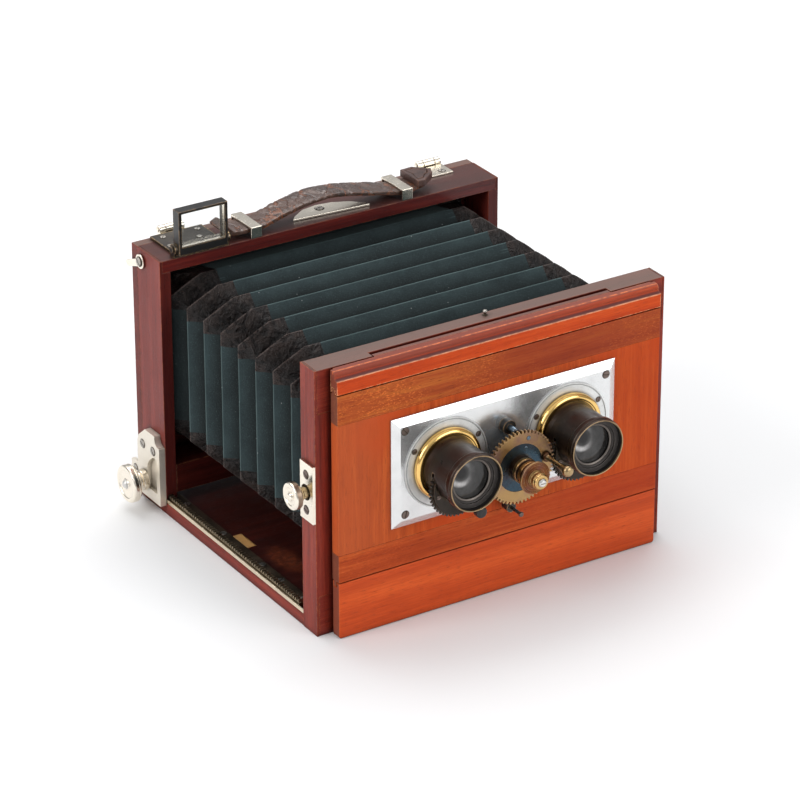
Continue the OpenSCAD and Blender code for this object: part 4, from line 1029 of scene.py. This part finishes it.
for i in range(36):
    a = 2 * math.pi * i / 36
    long = 1.15 if i % 3 == 0 else 0.7
    pl = g @ Matrix.Rotation(a, 4, "Z") @ Matrix.Translation((0.0086 - long * 0.0005, 0, 0.04178))
    bmesh.ops.create_cube(bm, size=1, matrix=pl @ Matrix.Diagonal((long * MM, 0.13 * MM,
                                                                  0.06 * MM, 1)))
obj_from("v_dial_marks", bm, [DARK_FILL_AND_SHADE], "shutter_gear", 30, weighted=False)
# a set screw in the wheel and a small one in the disc
screws("v_wheel_screws", STEEL_BLUE, "shutter_gear",
       [(at(6.1, -26.7, 102.1, FRONT), 1.15, 0.4, 50), (at(4.6, -26.4, 96.4, FRONT), 0.95, 0.3, 10)])
turned("v_crank_peg", [([(0, 26.7), (2.6, 26.7), (2.9, 27.0), (2.9, 28.4), (2.4, 28.9),
    (1.9, 29.3)], front_at(17.8, 87.7), 1), ([(1.9, 29.3), (1.6, 30.4), (1.4, 33), (1.45, 39),
    (1.75, 42.6), (2.4, 45.4), (3.05, 47.0), (3.3, 48.2), (3.2, 49.2), (2.6, 50.1), (1.5, 50.6),
    (0, 50.7)], front_at(17.8, 87.7), 0)],
    [PEG, DRUM], "shutter_gear", replaces=("crank_peg",), n=48, r=0.5)
turned("v_bridge_pin", [([(1.7, 16.9), (1.78, 17.0), (1.78, 22.8), (1.5, 23.45), (0, 23.5)],
    front_at(0.1, 106), 0)], [STEEL_BLUE], "lens_board", n=40, r=0.15)
turned("v_release", [([(0, 16), (0.95, 16), (0.95, 26.4)], front_at(GX, 56.3), 0),
    ([(0.95, 26.4), (1.0, 26.8), (1.35, 27.1), (1.5, 27.5), (1.5, 28.1), (1.2, 28.5),
    (0, 28.6)], front_at(GX, 56.3), 1)], [BLACK, SCREW_DARK], "release",
    replaces=("release_plunger",), n=32, r=0.2)

# ------------------------------------------------------------------ knobs
turned("v_clamp_knob", [([(0, 107), (3.42, 107), (3.42, 119.6), (4.4, 120.2), (4.7, 120.9),
    (4.3, 121.6), (3.6, 121.9), (3.6, 122.0)], left_at(7.5, 87.6), 1),
    ([(3.6, 122.0), (7.0, 122.4), (7.8, 122.9), (8, 123.4), (8, 126.0)], left_at(7.5, 87.6), 2),
    ([(8, 126.0), (7.7, 126.7), (7.0, 127.0), (5.4, 127.0), (5.0, 126.6), (2.6, 126.5),
    (2.4, 127.2), (1.4, 127.8), (0, 128)], left_at(7.5, 87.6), 0)],
    [NICKEL, KNOB_NECK, KNOB_SIDE], "clamp",
    replaces=("clamp_knob",), n=72)
turned("v_focus_knob", [([(2, 119.3), (6.0, 119.3), (6.3, 119.6), (6.3, 122.8), (5.6, 123.4),
    (5.2, 123.9), (5.2, 126.6), (6.2, 127.0), (10.6, 127.2), (11.2, 127.5), (11.5, 128.0),
    (11.5, 128.8), (11.3, 129.0), (11.5, 129.2), (11.5, 131.2), (11.2, 131.9), (10.4, 132.3),
    (8.8, 132.4), (8.4, 131.9), (7.8, 131.8), (3.6, 131.9), (3.2, 132.3), (3.0, 132.3)],
    left_at(188, 17.2), 0), ([(3.0, 132.3), (2.6, 132.4), (2.4, 133.2), (1.6, 133.8),
    (0, 134.0)], left_at(188, 17.2), 1)], [NICKEL, STEEL_BRIGHT], "pinion",
    replaces=("focus_knob",), n=96)

# ------------------------------------------------------------------ bed label
bm = bmesh.new()
line = [(-101.4, 6.08), (-100.2, 6.1), (-99.0, 6.12), (-97.8, 6.12), (-96.6, 6.1),
        (-95.5, 6.08)]
rows = []
for k in range(13):
    y = 100 + 17.0 * k / 12
    row = []
    for i, (x, z) in enumerate(line):
        lift = 0.10 * noise.noise(Vector((y * 0.4, x * 0.7, 2))) + 0.04
        row.append(bm.verts.new((x * MM, yy(y + 0.4 * noise.noise(Vector((x, k * 3.1, 1)))),
                                 (z + max(0.0, lift)) * MM)))
    rows.append(row)
for k in range(12):
    for i in range(len(line) - 1):
        bm.faces.new((rows[k][i], rows[k][i + 1], rows[k + 1][i + 1], rows[k + 1][i]))
bmesh.ops.recalc_face_normals(bm, faces=bm.faces)
o = obj_from("v_bed_label", bm, PAPER, "bed", weighted=False)
thicken(o, 0.00015, 0)
apply_mods(o)

# ------------------------------------------------------------------ finder's bright reveal
bm = bmesh.new()
for x0, x1, z0, z1 in ((-101.5, -101.25, 168.9, 189.5), (-73.55, -73.3, 168.9, 189.5),
                       (-101.25, -73.55, 168.9, 169.15), (-101.25, -73.55, 189.25, 189.5)):
    box_bm(bm, x0, x1, 167.9, 170.2, z0, z1)
obj_from("v_finder_reveal", bm, NICKEL, "finder", weighted=False)

# ------------------------------------------------------------------ bellows
BX, BT, BL = 106.0, 146.5, 38.0               # half width, top and bottom at a ridge
PD, PP = 10.5, 19.3                           # depth and pitch of the pleats
BY0, BY1 = 15.2, 193.65                       # front and rear ends


def perimeter(t, y):
    """Points [x, z, leather] round the bellows at pleat phase t: 0 at a ridge, 1 in a valley."""
    d = PD * t
    x, top, low = BX - d, BT - d, BL + d
    fill = max(0.0, min(1.0, (y - 179) / (BY1 - 181)))  # corners spread into the rear frame
    right = side_line(x, top, low, t, 12.4, 85.5, 1 - 0.8 * fill)
    left = side_line(x, top, low, t, 20.5, 75.5, 1 - 0.8 * fill)
    pts = [(px, pz) for px, pz, lea in right] + [(0.0, low)]
    pts += [(-px, pz) for px, pz, lea in left[1:]][::-1]
    ra, la = [q[2] for q in right], [q[2] for q in left]
    return pts, ra + la[::-1]


def side_line(x, top, low, t, cw, edge_x, cut):
    """One half of the outline, from the middle of the top round to the middle of the bottom."""
    cw, ch, cb = cw * (1 - 0.2 * t) * cut, (10 - 3.0 * t) * cut, (14 - 6.5 * t) * cut
    legs = [((0.0, top), (edge_x, top), 22, 0),
            ((edge_x, top), (x - cw, top), 5, 1),
            ((x - cw, top), (x, top - ch), 16, 1),
            ((x, top - ch), (x, 128.5), 5, 1),
            ((x, 128.5), (x, 58.0), 22, 0),
            ((x, 58.0), (x, low + cb), 3, 1),
            ((x, low + cb), (x - cb, low), 7, 1),
            ((x - cb, low), (82.0, low), 3, 1),
            ((82.0, low), (0.0, low), 18, 0)]
    out = []
    for k, (a, b, n, lea) in enumerate(legs):
        for i in range(n):
            s = i / n
            px, pz = a[0] + (b[0] - a[0]) * s, a[1] + (b[1] - a[1]) * s
            if k == 2 and i:                  # the corner folds inwards in the valleys
                fold = (1 - abs(2 * s - 1)) ** 0.9 * t ** 0.85 * 13.0 * cut
                px, pz = px - fold * 0.5, pz - fold * 0.86
            if k == 2:                        # and its ridge is softly rounded
                bow = math.sin(math.pi * s) * 0.25 * (1 - t)
                px, pz = px + bow, pz + bow
            out.append((px, pz, lea))
    return out


def bellows():
    stations = [(BY0, 0.66, 0.0)]            # (y, phase, ridge)
    for i in range(9):
        r = 21.0 + PP * i                    # the ridge's place
        if i == 0:
            steps = [(-3.0, 0.34)]
        else:
            steps = [(-PP / 2, 1.0), (-PP / 2 + 0.5, 0.97), (-PP * 0.36, 0.72),
                     (-PP * 0.22, 0.44), (-PP * 0.1, 0.2)]
        for dy, t in steps:
            stations.append((r + dy, t, 0.0))
        stations += [(r - 0.75, 0.055, 0.0), (r - 0.3, 0.012, 0.75), (r, 0.0, 1.0),
                     (r + 0.3, 0.012, 0.75), (r + 0.75, 0.055, 0.0)]
        if i < 8:
            stations += [(r + PP * 0.1, 0.2, 0.0), (r + PP * 0.22, 0.44, 0.0),
                         (r + PP * 0.36, 0.72, 0.0), (r + PP / 2 - 0.5, 0.97, 0.0)]
    stations += [(r + 3, 0.10, 0.0), (r + 6.5, 0.19, 0.0), (r + 10.5, 0.28, 0.0),
                 (r + 14, 0.35, 0.0), (BY1 - 2.0, 0.40, 0.0), (BY1 - 1.0, 0.36, 0.0),
                 (BY1, 0.18, 0.0)]
    bm = bmesh.new()
    ridge = bm.verts.layers.float.new("ridge")
    depth = bm.verts.layers.float.new("depth")
    seam = bm.verts.layers.float.new("seam")
    rows = []
    face = None
    for y, t, rg in stations:
        pts, face = perimeter(t, y)
        row = []
        for i, (x, z) in enumerate(pts):
            near = min(abs(abs(x) - (75.5 if x < 0 else 85.5)) if z > 120 else 99, abs(z - 128.5)
                       if abs(x) > 90 else 99)
            soft = min(1.0, (y - BY0) / 8.0, (BY1 - y) / 8.0)
            w = noise.noise_vector(Vector((x * 0.028, y * 0.05, z * 0.028))) * 0.55 * soft
            w2 = noise.noise_vector(Vector((x * 0.13, y * 0.21, z * 0.13 + 9))) * 0.18 * soft
            if face[i]:
                w2 = w2 + noise.noise_vector(Vector((x * 0.3, y * 0.16, z * 0.3))) * 0.34 * soft
            k = 0.35 if rg else 1.0
            px = x + (w.x + w2.x) * k
            pz = z + (w.z + w2.z) * k
            py = y + (w.y * 0.8 + w2.y) * (0.4 if t < 0.1 else 1.0)
            px = max(-BX, min(BX, px))
            pz = max(BL, min(BT, pz))
            v = bm.verts.new((px * MM, yy(py), pz * MM))
            v[ridge] = rg
            v[depth] = t
            v[seam] = max(0.0, 1 - near / 6.0)
            row.append(v)
        rows.append(row)
    n = len(rows[0])
    for k in range(len(rows) - 1):
        for i in range(n):
            j = (i + 1) % n
            f = bm.faces.new((rows[k][i], rows[k + 1][i], rows[k + 1][j], rows[k][j]))
            f.material_index = 1 if face[i] else 0
    bmesh.ops.recalc_face_normals(bm, faces=bm.faces)
    if sum(f.normal.dot(f.calc_center_median() - Vector((0, f.calc_center_median().y, 0.09)))
           for f in bm.faces) < 0:
        bmesh.ops.reverse_faces(bm, faces=bm.faces)
    me = bpy.data.meshes.new("v_bellows")
    bm.to_mesh(me)
    bm.free()
    for mt in (CLOTH, CORNER, LINING):
        me.materials.append(mt)
    for p in me.polygons:
        p.use_smooth = True
    me.set_sharp_from_angle(angle=math.radians(34))
    o = bpy.data.objects.new("v_bellows", me)
    scene.collection.objects.link(o)
    s = thicken(o, 0.0009, -1)
    s.use_even_offset = False
    s.material_offset = 2
    s.material_offset_rim = 0
    apply_mods(o)
    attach(o, "bed")
    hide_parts("bellows")
    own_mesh(o)


bellows()

# ------------------------------------------------------------------ carrying strap
STRAP_LOW = [(-71.3, 169.6), (-70.4, 168.0), (-68.6, 166.6), (-65.5, 165.7), (-61, 165.2),
             (-56, 165.0), (-51, 165.0), (-46.5, 165.1), (-40, 166.5), (-34, 168.1), (-28, 169.6),
             (-22, 171.0), (-15, 172.5), (-8, 173.5), (0, 173.7), (7, 173.1), (14, 172.0),
             (21, 170.7), (28, 169.2), (35, 167.7), (41, 166.3), (46, 165.3), (50, 165.0),
             (56, 165.0), (61, 165.3), (65, 165.8)]


def strap_path(n):
    """Evenly spaced [x, z, nx, nz] along the strap's underside."""
    pts = [Vector(q) for q in STRAP_LOW]
    fine = []
    for i in range(len(pts) - 1):
        a, b = pts[max(0, i - 1)], pts[i]
        c, d = pts[i + 1], pts[min(len(pts) - 1, i + 2)]
        for k in range(12):
            t = k / 12
            fine.append(0.5 * (2 * b + (c - a) * t + (2 * a - 5 * b + 4 * c - d) * t * t
                               + (3 * b - a - 3 * c + d) * t ** 3))
    fine.append(pts[-1])
    run = [0.0]
    for a, b in zip(fine, fine[1:]):
        run.append(run[-1] + (b - a).length)
    out = []
    for k in range(n + 1):
        s = run[-1] * k / n
        i = max(0, min(len(fine) - 2, int(np.searchsorted(run, s)) - 1))
        f = (s - run[i]) / max(1e-6, run[i + 1] - run[i])
        q = fine[i] + (fine[i + 1] - fine[i]) * f
        d = (fine[min(i + 3, len(fine) - 1)] - fine[max(i - 2, 0)]).normalized()
        out.append((q.x, q.y, -d.y, d.x))
    return out


def strap():
    y0, y1, t = 173.2, 190.4, 2.5
    sec = []                                  # [across, up] of the strap's section, closed
    for i in range(21):
        a = -1 + 2 * i / 20
        sec.append((a * 0.985, t * (0.84 + 0.16 * (1 - a ** 4)), 1))
    sec += [(1, t * 0.62, 0.5), (1, t * 0.35, 0.3)]
    sec += [((1 - 2 * i / 8) * 0.985, 0.0, 0) for i in range(9)]
    sec += [(-1, t * 0.35, 0.3), (-1, t * 0.62, 0.5)]
    bm = bmesh.new()
    rows = []
    n = 280                                  # steps along the strap
    for x, z, nx, nz in strap_path(n):
        lo = y0 + 2.9 * max(0.0, min(1.0, (-66.5 - x) / 2.2))
        mid, half = (lo + y1) / 2, (y1 - lo) / 2
        if x > 57:                            # the neck before the stitched end
            half *= 1 - 0.12 * min(1.0, (x - 57) / 3)
        fat = 1 + 1.15 * max(0.0, min(1.0, (-64.6 - x) / 3.4))
        free = 1.0 if abs(x) < 44 else (1.25 if x < -58 else 0.15)
        row = []
        for a, up, top in sec:
            ya = a * half
            nv = noise.noise_vector(Vector((x * 0.09, ya * 0.12, 3.1)))
            nf = noise.noise(Vector((x * 0.45, ya * 0.5, top * 2)))
            cr = abs(noise.noise(Vector((x * 0.20 + ya * 0.05, ya * 0.07, 7.7))))
            crease = -0.6 * max(0.0, 0.10 - cr) / 0.10 * top
            edge = nv.y * 0.6 * a * a * free
            u = up * fat + (nv.z * 0.5 * free + nf * 0.14 + crease) * (0.4 + 0.6 * top) * free
            u = max(0.0 if not free > 0.5 else -0.35, min(t * fat + 0.35 * free, u))
            row.append(bm.verts.new(((x + nx * u) * MM, yy(mid + ya + edge), (z + nz * u) * MM)))
        rows.append(row)
    m = len(rows[0])
    for k in range(n):
        for i in range(m):
            j = (i + 1) % m
            bm.faces.new((rows[k][i], rows[k + 1][i], rows[k + 1][j], rows[k][j]))
    bm.faces.new(rows[0])
    bm.faces.new(rows[-1][::-1])
    bmesh.ops.recalc_face_normals(bm, faces=bm.faces)
    obj_from("v_strap", bm, [STRAP], "rear_standard", 50, weighted=False,
             replaces=["strap"])
    # the doubled, stitched and pointed end
    out = [(59.4, 171.4), (64.0, 171.0), (73.6, 178.4), (75.9, 183.6), (67.4, 192.0),
           (59.4, 191.4)]
    bm = bmesh.new()
    c = Vector((65.4, 182.2))
    loops = []
    spec = [(0.5, 167.5), (0.0, 168.1), (0.0, 171.5), (0.12, 171.85), (0.45, 172.0), (2.2, 172.0),
            (2.6, 171.3), (3.0, 172.0), (5.0, 172.05), (7.5, 171.9)]

    def ring(inset, z, n=12):
        pts = []
        for i in range(6):
            a, b = Vector(out[i]), Vector(out[(i + 1) % 6])
            for k in range(n):
                q = a + (b - a) * (k / n)
                d = (c - q)
                near = max(0.0, 1 - inset / max(d.length, 0.1) * 1.15)
                q = c - d * near
                w = noise.noise(Vector((q.x * 0.3, q.y * 0.3, z * 0.3))) * 0.22
                pts.append(bm.verts.new((q.x * MM, yy(q.y), (z + w * 0.5) * MM)))
        return pts
    for inset, z in spec:
        loops.append(ring(inset, z))
    for k in range(len(loops) - 1):
        q = len(loops[k])
        for i in range(q):
            j = (i + 1) % q
            bm.faces.new((loops[k][i], loops[k][j], loops[k + 1][j], loops[k + 1][i]))
    bm.faces.new(loops[-1])
    bm.faces.new(loops[0][::-1])
    bmesh.ops.recalc_face_normals(bm, faces=bm.faces)
    obj_from("v_strap_end", bm, [PAD], "rear_standard", 50)
    bm = bmesh.new()                          # stitches along the end's border
    for i in range(6):
        a, b = Vector(out[i]), Vector(out[(i + 1) % 6])
        n = max(2, int((b - a).length / 1.7))
        for k in range(n):
            q = a + (b - a) * ((k + 0.5) / n)
            d = c - q
            q = c - d * max(0.0, 1 - 2.65 / d.length * 1.15)
            ang = math.atan2(b.y - a.y, b.x - a.x)
            pl = (Matrix.Translation((q.x * MM, yy(q.y), 171.75 * MM))
                  @ Matrix.Rotation(ang, 4, "Z") @ Matrix.Diagonal((0.6 * MM, 0.2 * MM, 0.22 * MM, 1)))
            bmesh.ops.create_uvsphere(bm, u_segments=10, v_segments=6, radius=1, matrix=pl)
    obj_from("v_strap_stitches", bm, [THREAD], "rear_standard", 60, weighted=False)


strap()

# ------------------------------------------------------------------ stage and light
bm = bmesh.new()
bmesh.ops.create_grid(bm, x_segments=2, y_segments=2, size=4.0)
me = bpy.data.meshes.new("floor")
bm.to_mesh(me)
bm.free()
floor = bpy.data.objects.new("floor", me)
scene.collection.objects.link(floor)
fm = Mat("floor")
fm.set(Base_Color=(0.86, 0.86, 0.86), Roughness=0.9, Specular_IOR_Level=0.1)
me.materials.append(fm.m)

world = bpy.data.worlds.new("studio")
scene.world = world
world.use_nodes = True
wn = world.node_tree
bg = wn.nodes["Background"]
tc = wn.nodes.new("ShaderNodeTexCoord")
sp = wn.nodes.new("ShaderNodeSeparateXYZ")
rp = wn.nodes.new("ShaderNodeValToRGB")
wn.links.new(tc.outputs["Generated"], sp.inputs[0])
mr = wn.nodes.new("ShaderNodeMapRange")
mr.inputs[1].default_value = -0.2
mr.inputs[2].default_value = 1.0
wn.links.new(sp.outputs[2], mr.inputs[0])
wn.links.new(mr.outputs[0], rp.inputs[0])
els = rp.color_ramp.elements
els[0].position, els[0].color = 0.0, (0.35, 0.35, 0.36, 1)
els[1].position, els[1].color = 1.0, (0.92, 0.93, 0.95, 1)
els.new(0.35).color = (0.42, 0.42, 0.43, 1)
wn.links.new(rp.outputs[0], bg.inputs[0])
bg.inputs[1].default_value = 0.85


def area(name, loc, look, size, power):
    d = bpy.data.lights.new(name, "AREA")
    d.shape = "RECTANGLE"
    d.size, d.size_y = size
    d.energy = power
    o = bpy.data.objects.new(name, d)
    scene.collection.objects.link(o)
    o.location = loc
    o.rotation_euler = (Vector(look) - Vector(loc)).to_track_quat("-Z", "Y").to_euler()


area("top_box", (0.2, 0.9, 1.9), (0, 0, 0.05), (2.0, 1.4), 26)
area("key_left", (-2.1, 0.0, 1.3), (0, 0, 0.08), (1.2, 1.4), 25)
area("front_fill", (0.9, -2.0, 0.9), (0, -0.1, 0.08), (1.4, 1.2), 16)
